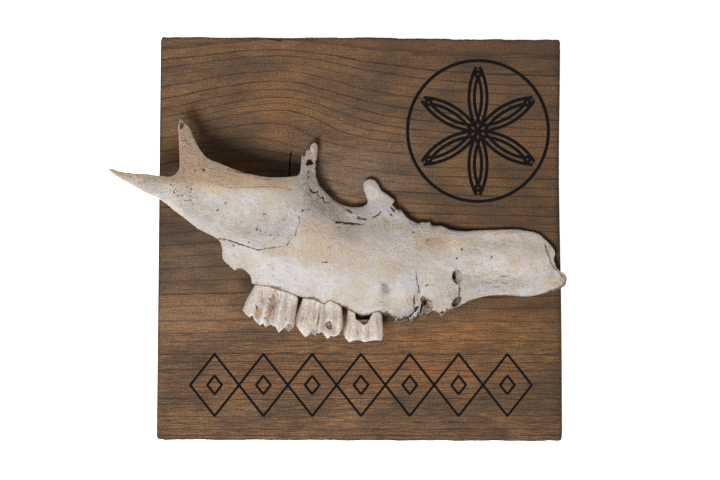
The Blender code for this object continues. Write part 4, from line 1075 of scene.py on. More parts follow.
def bone_surface(outline, free, seams, forms, pits, cracks):
    """The net, the height, and the soil and painted shade of a bone's outer face."""
    rings = []
    for distance in EDGE_RINGS:
        ring = inset(outline, distance)
        rings.append(ring[near_to(ring, outline, 1.2, closed=True) > 0.8 * distance])
    guides = rings + oval_rings(pits) + crack_guides(cracks)
    net, net_faces = filled(outline, guides, BONE_NET, clear=0.1)
    to_free, to_seam = near_to(net, free, EDGE_REACH), near_to(net, seams, 2.0)
    closeness = 1 - np.minimum(to_free / EDGE_RADIUS, 1)
    fall = EDGE_DROP * (1 - to_free / EDGE_REACH) ** 2
    fall += EDGE_RADIUS * (1 - np.sqrt(1 - 0.97 * closeness**2))
    dark = np.clip(patches(net, SEAM_SOIL), 0, 1.2) * broken_up(net, 1.3, 18.0, 1.3)
    seam_depth = SEAM_DEPTH + SOILED_SEAM_DEPTH * dark
    fall += seam_depth * ramp_down(to_seam, SEAM_HALF + SOILED_SEAM_HALF * dark)
    for size, deep, stretch in BONE_GRAIN:
        fall += deep * (1 + waves(net, size, size + 2.0, stretch))
    pit_sink, pit_soil = pitted(net, pits)
    crack_sink, crack_soil = cracked(net, cracks)
    height = bone_face(net) + patches(net, forms) - fall - pit_sink - crack_sink
    spongy = np.clip(patches(net, EDGE_SOIL), 0, 1.4)
    reach = (0.8 + 1.8 * spongy) * broken_up(net, 1.4, 26.0, 1.6)
    worn = np.minimum(spongy, 1) * ramp_down(to_free, reach)
    seam_soil = dark * ramp_down(to_seam, 0.3 + 0.35 * dark)
    return net, net_faces, height, np.maximum.reduce([pit_soil, crack_soil, seam_soil, worn])


def solid_bone(name, outline, surface, back_net, back, tan, grey, **more):
    """A bone between its outer face and its back, with its stains on its points."""
    *front_net, height, soil = surface
    rough = 0.16 * (1 + waves(outline, 0.9, 8.0)) * sideways(outline, closed=True).T

    def spongy(level, share):
        crumbs = 1 + waves(level[:, :2] + level[:, 2:], 0.8, 3.0)
        return (rough * crumbs * math.sin(math.pi * share)).T

    points, faces = closed_relief(
        len(outline), front_net, back_net, BOARD_THICK + height, BOARD_THICK + back,
        BONE_WALL_ROWS, spongy,
    )
    flat = points[:, :2]
    unseen = flat[len(soil) :]
    stains = dict(tan=tan, grey=grey, speck=SPECKS, coarse=COARSE)
    shares = {label: np.clip(patches(flat, spots), 0, 1) for label, spots in stains.items()}
    # The walls and the back get painted shade, a little everywhere, and brown soil along the spongy
    # broken edges.
    soil = np.append(soil, 0.12 + 0.6 * np.clip(patches(unseen, EDGE_SOIL), 0, 1))
    return dressed(
        name, points, faces, old_bone, slot="bone", sharp=60, soil=soil,
        bleach=1.0 + patches(flat, BLEACH_AND_SHADE), **shares, **more,
    )


def foot_side(points, foot):
    """How far points are from the palate's foot: more than zero on the nose side."""
    foot_y = np.interp(points[:, 0], foot[::-1, 0], foot[::-1, 1])
    return np.where(points[:, 1] >= foot_y, 1, -1) * distance_to(points, foot)


def jaw_back(points, front, gum):
    """The palate, its foot on the board, and the hollow of the nose above it."""
    side = foot_side(points, smooth_path(PALATE_FOOT, 2.0))
    lip = np.interp(points[:, 0], LIP_AT, LIP_HEIGHT)
    past = np.maximum(np.abs(side) - FOOT_HALF, 0)
    along = past / np.maximum(past + distance_to(points, gum) - FOOT_STEP, 1e-6)
    palate = FOOT_GAP + (lip - FOOT_GAP) * (1 - (1 - np.clip(along, 0, 1)) ** PALATE_CURVE)
    wall = front - WALL_THICK
    inner = np.minimum(NOSE_WALL, wall)
    nose = inner + (wall - inner) * smooth_step((past - FOOT_STEP) / NOSE_REACH)
    nose = FOOT_GAP + (nose - FOOT_GAP) * smooth_step(past / FOOT_STEP)
    back = np.where(side < 0, palate, nose)
    return back + (wall - back) * smooth_step((CHEEK_FROM - points[:, 0]) / CHEEK_REACH)


bone = Finish("old_bone")
cloud = bone.noise((0.05, 0.08, 0.08), 3.0)
mottle = bone.noise((0.32, 0.42, 0.42), 4.0, 0.6)
warmth = bone.noise((0.17, 0.24, 0.24), 3.0, 0.5, shift=(90, 40, 0))
fleck = bone.noise((0.85, 1.0, 1.0), 3.0, 0.65)
pore = bone.noise((1.5, 1.7, 1.7), 2.0, 0.6, turn=0.5)
streak = bone.noise((0.14, 1.6, 1.6), 4.0, 0.6, turn=0.12)
tan = bone.maths("MULTIPLY", bone.value("tan"), bone.range(mottle, 0.3, 0.62, 0.6, 1.2))
grey = bone.maths("MULTIPLY", bone.value("grey"), bone.range(mottle, 0.65, 0.35, 0.6, 1.2))
colour = bone.mix(bone.range(cloud, 0.35, 0.65), linear(214, 210, 210), linear(208, 198, 186))
colour = bone.mix(bone.range(warmth, 0.52, 0.68, 0.0, 0.45), colour, linear(206, 184, 156))
colour = bone.mix(bone.range(warmth, 0.46, 0.3, 0.0, 0.5), colour, linear(202, 206, 214))
colour = bone.mix(tan, colour, linear(198, 170, 140))
colour = bone.mix(grey, colour, linear(172, 165, 159))
vein = bone.maths("SUBTRACT", bone.noise((0.16, 0.3, 0.3)), 0.5)
vein = bone.maths("ABSOLUTE", vein)
vein = bone.maths("MULTIPLY", bone.range(vein, 0.022, 0.004), bone.range(fleck, 0.4, 0.65))
colour = bone.mix(bone.maths("MULTIPLY", vein, 0.6), colour, linear(150, 112, 72))
brown = bone.maths("MULTIPLY_ADD", bone.value("speck"), 0.7, 0.12)
brown = bone.maths("MULTIPLY_ADD", bone.value("tan"), 0.6, brown)
brown = bone.maths("MULTIPLY", bone.range(fleck, 0.56, 0.7), brown)
colour = bone.mix(brown, colour, linear(122, 90, 60))
dots = bone.add("ShaderNodeTexVoronoi", bone.stretched((0.42, 0.42, 0.42)))
rare = bone.add("ShaderNodeSeparateColor", dots.outputs["Color"]).outputs[0]
often = bone.maths("MULTIPLY_ADD", bone.value("speck"), 0.9, 0.16)
dot = bone.range(dots.outputs["Distance"], 0.2, 0.1)
dot = bone.maths("MULTIPLY", dot, bone.maths("LESS_THAN", rare, often))
colour = bone.mix(bone.maths("MULTIPLY", dot, 0.75), colour, linear(88, 62, 42))
# Soil, with painted shade in the pits, holes and cracks, darkens the bone to brown, and to near black
# where they are deepest.
soil = bone.maths("MULTIPLY", bone.value("soil"), bone.range(fleck, 0.25, 0.65, 1.3, 0.6))
colour = bone.mix(bone.range(soil, 0.08, 0.55, 0.0, 0.8), colour, linear(112, 82, 56))
colour = bone.mix(bone.range(soil, 0.5, 0.95), colour, linear(22, 15, 11))
rough = bone.maths("MULTIPLY_ADD", bone.value("tan"), 0.8, 0.9)
rough = bone.maths("MULTIPLY_ADD", bone.value("coarse"), 2.6, rough)
swings = ((pore, 0.42), (fleck, 0.4), (streak, 0.2), (mottle, 0.3))
# The bone is lightened and darkened by weathering and by painted light and painted shade.
colour = bone.toned(colour, bone.value("bleach"), swings, rough)
relief = bone.maths("ADD", bone.maths("MULTIPLY", pore, 0.5), bone.maths("MULTIPLY", fleck, 0.8))
relief = bone.maths("ADD", relief, bone.maths("MULTIPLY", streak, 0.3))
relief = bone.maths("MULTIPLY", relief, bone.maths("MULTIPLY_ADD", bone.value("coarse"), 1.2, 0.8))
old_bone = bone.finish(
    Base_Color=colour, Roughness=bone.range(mottle, 0.3, 0.7, 0.6, 0.75),
    Normal=bone.bump(relief, 1.0, 0.8),
)

cheek_seam, tear_seam = seam(CHEEK_SUTURE, 11.0), seam(TEAR_SUTURE, 17.0)
jaw_top = worn_edge(JAW_TOP_EDGE, JAW_RAGGED, 21.0)
jaw_gum = worn_edge(JAW_LOWER_EDGE, JAW_RAGGED, 31.0)
jaw_knob = worn_edge(JAW_KNOB_EDGE, JAW_RAGGED, 41.0)
jaw_outline = np.vstack([part[:-1] for part in (jaw_top, jaw_gum, jaw_knob, cheek_seam, tear_seam)])
jaw_outline = inset(turning_left(jaw_outline), SEAM_INSET)
jaw_free = np.vstack([jaw_top, jaw_gum, jaw_knob])
jaw_seams = np.vstack([cheek_seam, tear_seam])
net, net_faces, height, soil = bone_surface(
    jaw_outline, jaw_free, jaw_seams, JAW_FORMS, JAW_PITS + JAW_HOLES, JAW_CRACKS,
)
layer_gone = smooth_step(near_to(net, smooth_path(SNOUT_BREAK, 1.0), 1.0) / LAYER_EDGE)
layer_gone = layer_gone * within(net, np.array(SNOUT_LAYER))
surface = (net, net_faces, height - LAYER_STEP * layer_gone, soil)

foot = smooth_path(PALATE_FOOT, 2.0)
foot_guides = beside(foot, (-FOOT_HALF - FOOT_STEP, -FOOT_HALF, FOOT_HALF, FOOT_HALF + FOOT_STEP))
back_net = filled(jaw_outline, [foot_guides], BACK_NET, clear=0.9)
plain_front = bone_face(back_net[0]) - RELIEF_DEPTH
back = np.minimum(jaw_back(back_net[0], plain_front, jaw_gum), plain_front - WALL_LEAST)
back = np.maximum(back, FOOT_GAP)
back += BACK_ROUNDING * ramp_down(near_to(back_net[0], jaw_free, 2.0), 1.0)
jaw_piece = solid_bone(
    "upper_jaw_bone", jaw_outline, surface, back_net, back, JAW_TAN, JAW_GREY,
    stands_for=["upper_jaw"],
)

# The cheekbone overlaps the jaw at a fine seam. Its spur runs back to the temple, and its upper
# edge is the stained rim of the eye socket, with the broken stump of the brow post on it.
CHEEK_EDGE = (
    JAW_CORNER, (-74, 2.5), (-78.5, 4.5), (-81.5, 6.5), (-86.1, 10.3), (-90.8, 13.7), (-95.3, 17.5),
    (-100.7, 21), (-106, 23.3), (-112.2, 26.8), (-118.3, 30.2), (-122.6, 33), (-124.5, 35),
    (-122.4, 35.3), (-118.6, 33.9), (-112.2, 33.1), (-106, 32.8), (-100.3, 32), (-93.4, 31.5),
    (-90.4, 33.6), (-89.4, 36), (-89.5, 42), (-89.9, 49.7), (-90.3, 55), (-90.2, 58), (-89.4, 60.5),
    (-88.1, 59.7), (-87.1, 58.2), (-86, 57.4), (-85, 56.2), (-84, 54.4), (-81.2, 48.5),
    (-78.9, 44.3), (-75.5, 40.5), (-70.8, 38.6), (-66.3, 36.7), (-58.6, 34), (-51, 32.1),
    (-43.3, 31.1), (-35.7, 31.4), ORBIT_CORNER,
)
CHEEK_TEAR_SUTURE = (THREE_BONES, (-28.3, 19.5), (-28.6, 24), (-29.6, 28.5), ORBIT_CORNER)
CHEEK_FORMS = (
    (-60, 22.5, 22, 3, -3, -0.6), (-84, 20, 6, 4.5, -20, -0.4), (-87.5, 48, 1.8, 10, 3, 0.5),
    (-74, 35, 8, 2, -28, 0.4), (-40, 15, 7, 4, 10, 0.3), (-49, 6, 9, 3.5, 0, -0.4),
)
CHEEK_PITS = (
    (-88.5, 57, 0.95, 2.3, -8, 1.6, 0.8), (-87.1, 49.5, 0.9, 0.6, 20, 0.3, 0.5),
    (-84.2, 51, 0.55, 0.45, 0, 0.3, 0.5), (-77.4, 34.8, 0.65, 0.55, 0, 0.7, 0.9),
    (-81.4, 34.4, 0.5, 0.45, 0, 0.4, 0.7), (-86.3, 34.6, 0.45, 0.35, 0, 0.3, 0.6),
    (-73.8, 38.6, 0.4, 0.35, 0, 0.3, 0.6), (-70.5, 14.8, 0.75, 0.55, 20, 0.5, 0.8),
    (-72.7, 17.6, 0.6, 0.4, 0, 0.2, 0.5), (-66.5, 18.3, 0.5, 0.65, 0, 0.3, 0.6),
    (-69.7, 22.7, 0.4, 0.35, 0, 0.2, 0.5), (-74.7, 26.7, 0.6, 0.4, 10, 0.2, 0.4),
    (-87.7, 22, 0.55, 0.45, 0, 0.4, 0.9), (-90, 22, 0.5, 0.45, 0, 0.4, 0.9),
    (-91.9, 23.7, 0.4, 0.8, 25, 0.4, 0.9), (-85.3, 19.3, 0.6, 0.35, 0, 0.3, 0.7),
    (-83.8, 19.8, 0.45, 0.45, 0, 0.3, 0.7), (-82.8, 17.8, 0.5, 0.3, 20, 0.3, 0.7),
    (-83.1, 11.1, 0.4, 0.3, 0, 0.2, 0.5), (-93.4, 27.7, 0.55, 0.25, 0, 0.3, 0.8),
    (-94.9, 28.4, 0.4, 0.25, 0, 0.3, 0.8), (-96.4, 28.2, 0.4, 0.3, 0, 0.3, 0.8),
    (-93.4, 27.2, 0.4, 0.35, 0, 0.25, 0.7), (-92.4, 26.2, 0.45, 0.3, 20, 0.25, 0.65),
    (-91.4, 25.2, 0.4, 0.4, 0, 0.25, 0.7), (-90.4, 24, 0.5, 0.35, 30, 0.25, 0.6),
    (-86.7, 19.5, 0.5, 0.4, 0, 0.25, 0.7), (-83.8, 21.7, 0.35, 0.6, 0, 0.25, 0.75),
    (-84, 23.7, 0.3, 0.6, 10, 0.3, 0.8), (-83.3, 25.2, 0.5, 0.4, 0, 0.35, 0.9),
    (-83.5, 26.7, 0.4, 0.4, 0, 0.2, 0.6), (-85.5, 26.2, 0.7, 0.35, 0, 0.25, 0.75),
    (-82, 23.2, 0.4, 0.3, 0, 0.2, 0.6), (-81.1, 21.3, 0.35, 0.45, 0, 0.2, 0.65),
    (-80.6, 19.3, 0.45, 0.3, 0, 0.2, 0.6), (-82.5, 18.3, 0.4, 0.35, 0, 0.2, 0.55),
    (-47.5, 12.9, 0.7, 0.55, 0, 0.4, 0.7), (-37.6, 10.2, 0.8, 0.6, 20, 0.25, 0.45),
    (-51, 5.4, 0.8, 0.55, -20, 0.4, 0.65), (-49.2, 4.7, 0.55, 0.6, 0, 0.4, 0.7),
    (-44.3, 2.5, 0.65, 0.4, 25, 0.4, 0.75), (-40.6, 2.5, 0.45, 0.45, 0, 0.35, 0.7),
    (-42.3, 0.7, 0.3, 0.3, 0, 0.3, 0.7), (-54.9, 3.7, 0.45, 0.3, 20, 0.3, 0.6),
    (-54.9, -1, 0.45, 0.4, 0, 0.4, 0.8), (-31, 5.3, 0.5, 0.7, -25, 0.4, 0.7),
    (-31.7, 2.2, 0.4, 0.5, -20, 0.3, 0.5), (-101.3, 29.7, 0.65, 0.4, 10, 0.2, 0.45),
    (-105.8, 29.2, 0.5, 0.5, 0, 0.2, 0.45), (-102.8, 21.7, 0.4, 0.3, 0, 0.15, 0.4),
    (-79.6, 13.4, 0.8, 0.25, -15, 0.1, 0.3), (-61.4, 21.3, 0.5, 0.3, 0, 0.15, 0.35),
    (-36.2, 12.1, 0.4, 0.4, 0, 0.2, 0.4),
)
CHEEK_CRACKS = (
    (((-65.5, 35), (-61.8, 34), (-58.5, 33.2), (-54.5, 32)), 0.35, 0.3, 0.7),
    (((-52.5, 31.2), (-48, 30.4), (-43.5, 30)), 0.3, 0.2, 0.6),
    (((-66, 33.6), (-62.5, 32.2), (-60, 31.9)), 0.25, 0.2, 0.5),
    (((-70.2, 27.9), (-68.2, 27.2), (-65.3, 25.9), (-62.8, 26.1), (-56.9, 26.2), (-48.5, 26.5),
      (-39.7, 26.3), (-34.2, 25.3), (-30.3, 24.1)), 0.4, 0.3, 0.45),
    (((-81.1, 30.7), (-76.2, 29.7), (-71.7, 28.2), (-70.2, 27.9)), 0.35, 0.2, 0.42),
    (((-61.4, 2), (-54.4, 1), (-48.5, -1)), 0.3, 0.1, 0.1),
)
CHEEK_TAN = (
    (-87.1, 48.5, 10, 22, 0, 0.9), (-82.6, 36.1, 12, 8, -30, 0.6),
    (-71.7, 34.6, 13, 4.5, -22, 0.75), (-57, 32.4, 16, 4.2, -10, 0.8),
    (-42.1, 29.3, 15, 4, -4, 0.6), (-96.4, 29.6, 10, 2, 0, 0.5), (-113.7, 32.6, 14, 2, -8, 0.6),
    (-121.1, 34.6, 5, 2, -20, 0.6), (-54.5, 27.2, 20, 3, -3, 0.45), (-75.2, 28.2, 12, 4, -10, 0.4),
    (-43.6, 20.8, 5, 4, 0, 0.15), (-52, 14.9, 6, 3, 0, 0.15), (-38.1, 10.4, 4, 3, 30, 0.35),
    (-66.8, 18.8, 4, 3.5, 0, 0.2), (-81.1, 19.8, 5, 4.5, 0, 0.15),
)
# Where the cheekbone is grey: stain, and painted shade along its lower rim, which faces down.
CHEEK_GREY = (
    (-79.1, 17.3, 13, 6.5, -25, 0.35), (-71.7, 13.9, 11, 5, -30, 0.35),
    (-50.5, 8.9, 14, 7, -10, 0.5), (-61.9, 5.9, 10, 4, -20, 0.35), (-37.1, 2.5, 7, 5, 0, 0.3),
    (-34.7, 29.8, 7, 2.5, -5, 0.25), (-56.4, 22.8, 8, 3, 0, 0.15), (-86.5, 24.7, 8, 4, 0, 0.2),
)
CHEEK_RAGGED = ((-88.5, 59, 4, 3, 0, 0.7), (-58, 34, 9, 3, 0, 0.25))
CHEEK_THICK = 5.0
SOCKET_RIM_THICK = 8.0
SOCKET_RIM_REACH = 7.0
TIP_SHARE = 0.45
TIP_REACH = 5.0
THIN_LEAST = 2.1

cheek_edge = worn_edge(CHEEK_EDGE, CHEEK_RAGGED, 51.0)
cheek_tear_seam = seam(CHEEK_TEAR_SUTURE, 61.0)
cheek_outline = np.vstack([cheek_edge[:-1], cheek_tear_seam[::-1][:-1], cheek_seam[::-1][:-1]])
cheek_outline = inset(turning_left(cheek_outline), SEAM_INSET)
cheek_seams = np.vstack([cheek_seam, cheek_tear_seam])
surface = bone_surface(
    cheek_outline, cheek_edge, cheek_seams, CHEEK_FORMS, CHEEK_PITS, CHEEK_CRACKS,
)
back_net = filled(cheek_outline, (), BACK_NET, clear=BACK_CLEAR)


def thin_back(points, thick, outline):
    """The back of a thin bone, which gets thinner still towards narrow tips."""
    inner = near_to(points, outline, TIP_REACH, closed=True)
    share = TIP_SHARE + (1 - TIP_SHARE) * inner / TIP_REACH
    rounding = BACK_ROUNDING * ramp_down(inner, 1.0)
    return bone_face(points) + np.minimum(rounding - thick * share, -THIN_LEAST)


socket_rim = cheek_edge[len(cheek_edge) // 2 :]
rim_share = ramp_down(near_to(back_net[0], socket_rim, 8.0), SOCKET_RIM_REACH)
thick = CHEEK_THICK + (SOCKET_RIM_THICK - CHEEK_THICK) * rim_share
back = thin_back(back_net[0], thick, cheek_outline)
solid_bone(
    "cheek_bone", cheek_outline, surface, back_net, back, CHEEK_TAN, CHEEK_GREY,
    stands_for=["cheekbone"],
)

# The tear bone is the thin grey plate in the corner of the eye socket. It rises in a prong with a
# tear hole in it, broken off in steps, and its lower seam stands open.
TEAR_EDGE = (
    ORBIT_CORNER, (-29.7, 34), (-29.4, 38), (-29.3, 40.9), (-28.8, 42.2), (-27.9, 41.6),
    (-27.2, 42.2), (-27.1, 44.3), (-26.1, 45.5), (-25.2, 45), (-24.9, 46.4), (-24.2, 48),
    (-22.6, 48.8), (-21.1, 47.3), (-20.9, 44), (-21.9, 38.4), (-22.1, 33.6), (-20.4, 27.5),
    (-16.8, 23.6), (-12.3, 19.5), (-7.8, 17.3), (-3.2, 16.4), NOTCH_CORNER,
)
TEAR_FORMS = (
    (-16, 16, 12, 2.5, -38, -0.5), (-26, 28, 2, 8, 0, 0.3), (-27.5, 41, 0.5, 3, 0, -0.3),
    (-24.5, 44.5, 0.4, 2.5, 0, -0.4), (-6, 11, 5, 1.5, -10, -0.3), (-22.5, 45, 0.9, 3.5, -8, 0.4),
)
TEAR_CRACKS = (
    (((-24.7, 24.9), (-23.9, 23.9), (-22.9, 23.6), (-21.6, 23.7), (-20.6, 24.4)), 0.5, 0.5, 1.2),
    (((-21.2, 22.6), (-20.7, 21.5), (-19.4, 21.4), (-18.4, 21.2), (-18.1, 19.6)), 0.5, 0.5, 1.2),
    (((-17.5, 19), (-16.4, 18.5), (-15.2, 18.6)), 0.5, 0.5, 1.2),
    (((-25.8, 34.6), (-25.2, 33.7), (-26, 32.4), (-25.4, 31.5), (-25.9, 30.6)), 0.38, 0.3, 0.95),
    (((-24.9, 39.8), (-25.7, 40.8), (-25.2, 42.1)), 0.2, 0.2, 0.4),
    (((-14.7, 20.1), (-11.4, 18.6), (-8, 16.3), (-4.9, 13.8)), 0.3, 0.3, 0.6),
    (((-1, 11.1), (0.5, 10.6), (3, 10.4)), 0.6, 1, 1.2),
    (((-6.2, 14.8), (-5.1, 14.4), (-4.2, 13.8)), 0.5, 0.4, 1.2),
    (((-28.3, 25.8), (-24.8, 22.8), (-21.9, 19.4), (-17.9, 16.4), (-12.9, 13.7)), 0.35, 0.15, 0.2),
    (((-26.9, 41.8), (-27.4, 36.8), (-27.3, 30.8)), 0.4, 0.12, 0.1),
)
TEAR_TAN = (
    (-27.5, 22, 3, 7, 0, 0.3), (-5, 14, 7, 3, 0, 0.2), (-22.5, 47, 3, 3, 0, 0.25),
    (-25, 36, 6, 14, 0, 0.45), (-16, 17, 12, 5, -35, 0.3),
)
TEAR_GREY = ((-24, 26, 5, 9, 35, 0.3), (-16, 14.5, 10, 2, -30, 0.15), (-25, 38, 6, 14, 0, 0.35))
TEAR_RAGGED = ((-26, 45, 6, 4, 0, 0.35),)
TEAR_THICK = 3.2
TEAR_HOLE_DEPTH = 1.9
PLUG_NET = 9.0
TEAR_HOLE = (
    (-26.9, 37.7), (-26.3, 38.8), (-25.7, 39.9), (-24.9, 40), (-24, 39.4), (-23.4, 38.3),
    (-23.9, 37.7), (-25.2, 37.5), (-26.3, 37),
)
# A pit round the tear hole, its darkness painted shade at the hole's rim.
TEAR_HOLE_RIM = ((-24.9, 38.7, 1.9, 1.7, 20, 0.5, 0.4),)

tear_edge = worn_edge(TEAR_EDGE, TEAR_RAGGED, 71.0)
tear_outline = np.vstack([tear_edge[:-1], tear_seam[::-1][:-1], cheek_tear_seam[:-1]])
tear_outline = inset(turning_left(tear_outline), SEAM_INSET)
tear_seams = np.vstack([cheek_tear_seam, tear_seam])
surface = bone_surface(
    tear_outline, tear_edge, tear_seams, TEAR_FORMS, TEAR_HOLE_RIM, TEAR_CRACKS,
)
back_net = filled(tear_outline, (), BACK_NET, clear=BACK_CLEAR)
back = thin_back(back_net[0], TEAR_THICK, tear_outline)
tear_piece = solid_bone(
    "tear_bone_plate", tear_outline, surface, back_net, back, TEAR_TAN, TEAR_GREY,
    stands_for=["tear_bone"],
)


def cut_out(piece, shapes, inside):
    """Takes closed shapes away from a piece, lines the cuts with a finish, then drops the shapes."""
    for points, faces in shapes:
        mesh = bpy.data.meshes.new("waste")
        mesh.from_pydata((points * MM).tolist(), [], faces)
        mesh.materials.append(inside)
        waste = bpy.data.objects.new("waste", mesh)
        bpy.context.scene.collection.objects.link(waste)
        cut = piece.modifiers.new("cut", "BOOLEAN")
        cut.operation, cut.solver, cut.object = "DIFFERENCE", "EXACT", waste
        cut.material_mode = "TRANSFER"
        bpy.context.view_layer.update()
        shaped = piece.evaluated_get(bpy.context.evaluated_depsgraph_get())
        after = bpy.data.meshes.new_from_object(shaped)
        piece.modifiers.remove(cut)
        before, piece.data = piece.data, after
        after.name = before.name
        bpy.data.meshes.remove(before)
        bpy.data.objects.remove(waste)


def plug(outline, low, high, slide=(0, 0), on_bone=False):
    """A closed shape between two heights over the board or the bone, its lower end slid aside."""
    outline = turning_left(np.array(outline, float))
    net, faces = filled(outline, (), PLUG_NET, clear=0.5)
    base = BOARD_THICK + (bone_face(net) if on_bone else np.zeros(len(net)))
    return closed_relief(len(outline), (net, faces), (net + slide, faces), base + high, base + low, 1)


# The tear hole is a shallow blind hole lined with near-black: painted shadow for its dark inside.
hollow = Finish("painted_shadow_lining")
shadow = hollow.mix(hollow.noise((0.8, 0.8, 0.8)), linear(6, 5, 4), linear(14, 11, 9))
painted_shadow_lining = hollow.finish(Base_Color=shadow, Roughness=0.9)
tear_hole = plug(smooth_path(TEAR_HOLE, 0.3, closed=True), -TEAR_HOLE_DEPTH, 2.0, on_bone=True)
cut_out(tear_piece, [tear_hole], painted_shadow_lining)

# Three cheek teeth stand in the jaw, held only by their roots. Each is a folded column of ivory
# enamel with ribs on the cheek side and worn cusps. The front one's roots part in an open arch.
TOOTH_SECTION = (
    (0.5, 0.38), (0.4, 0.41), (0.25, 0.43), (0.12, 0.43), (0, 0.44), (-0.12, 0.43), (-0.25, 0.43),
    (-0.38, 0.41), (-0.5, 0.4), (-0.48, 0.05), (-0.42, -0.34), (-0.25, -0.5), (-0.08, -0.42),
    (0, -0.32), (0.08, -0.42), (0.25, -0.5), (0.42, -0.34), (0.48, 0.05),
)
TOOTH_NET = 0.42
TOOTH_ROWS = 52
NECK_SHARE = 0.86
BITE_HALF = 0.28
PIT_DEPTH = 3.0
PIT_HALF = 0.42
TONGUE_WEAR, TONGUE_FROM, TONGUE_REACH = 1.5, -0.3, 0.2
ROOT_NET = 2.5
GUM_REACH = 0.9
SOCKET_CLEAR = 0.4
SOCKET_NET = 1.2
SOCKET_ROWS = 10
EDGE_BULGES = (0.3, 0.12, 0.04)
HOLLOW_REACH = 2.0
ROOT_FORK = (
    (-2.4, -25), (-2.6, -35), (-2.4, -37.5), (-1.9, -39.6), (-0.7, -41.2), (0.6, -41.9),
    (2.8, -41.8), (4.4, -40.6), (5.1, -38.6), (6.4, -36.4), (7.2, -34.8), (7.2, -25),
)
FORK_FLOOR = 16.5
FORK_TOP = 40.0
FORK_LIP_TOP = 26.4
FORK_LIP_SLIDE = 1.7
FORK_LIP = -39.6
FORK_LIP_DEPTH = 24.4
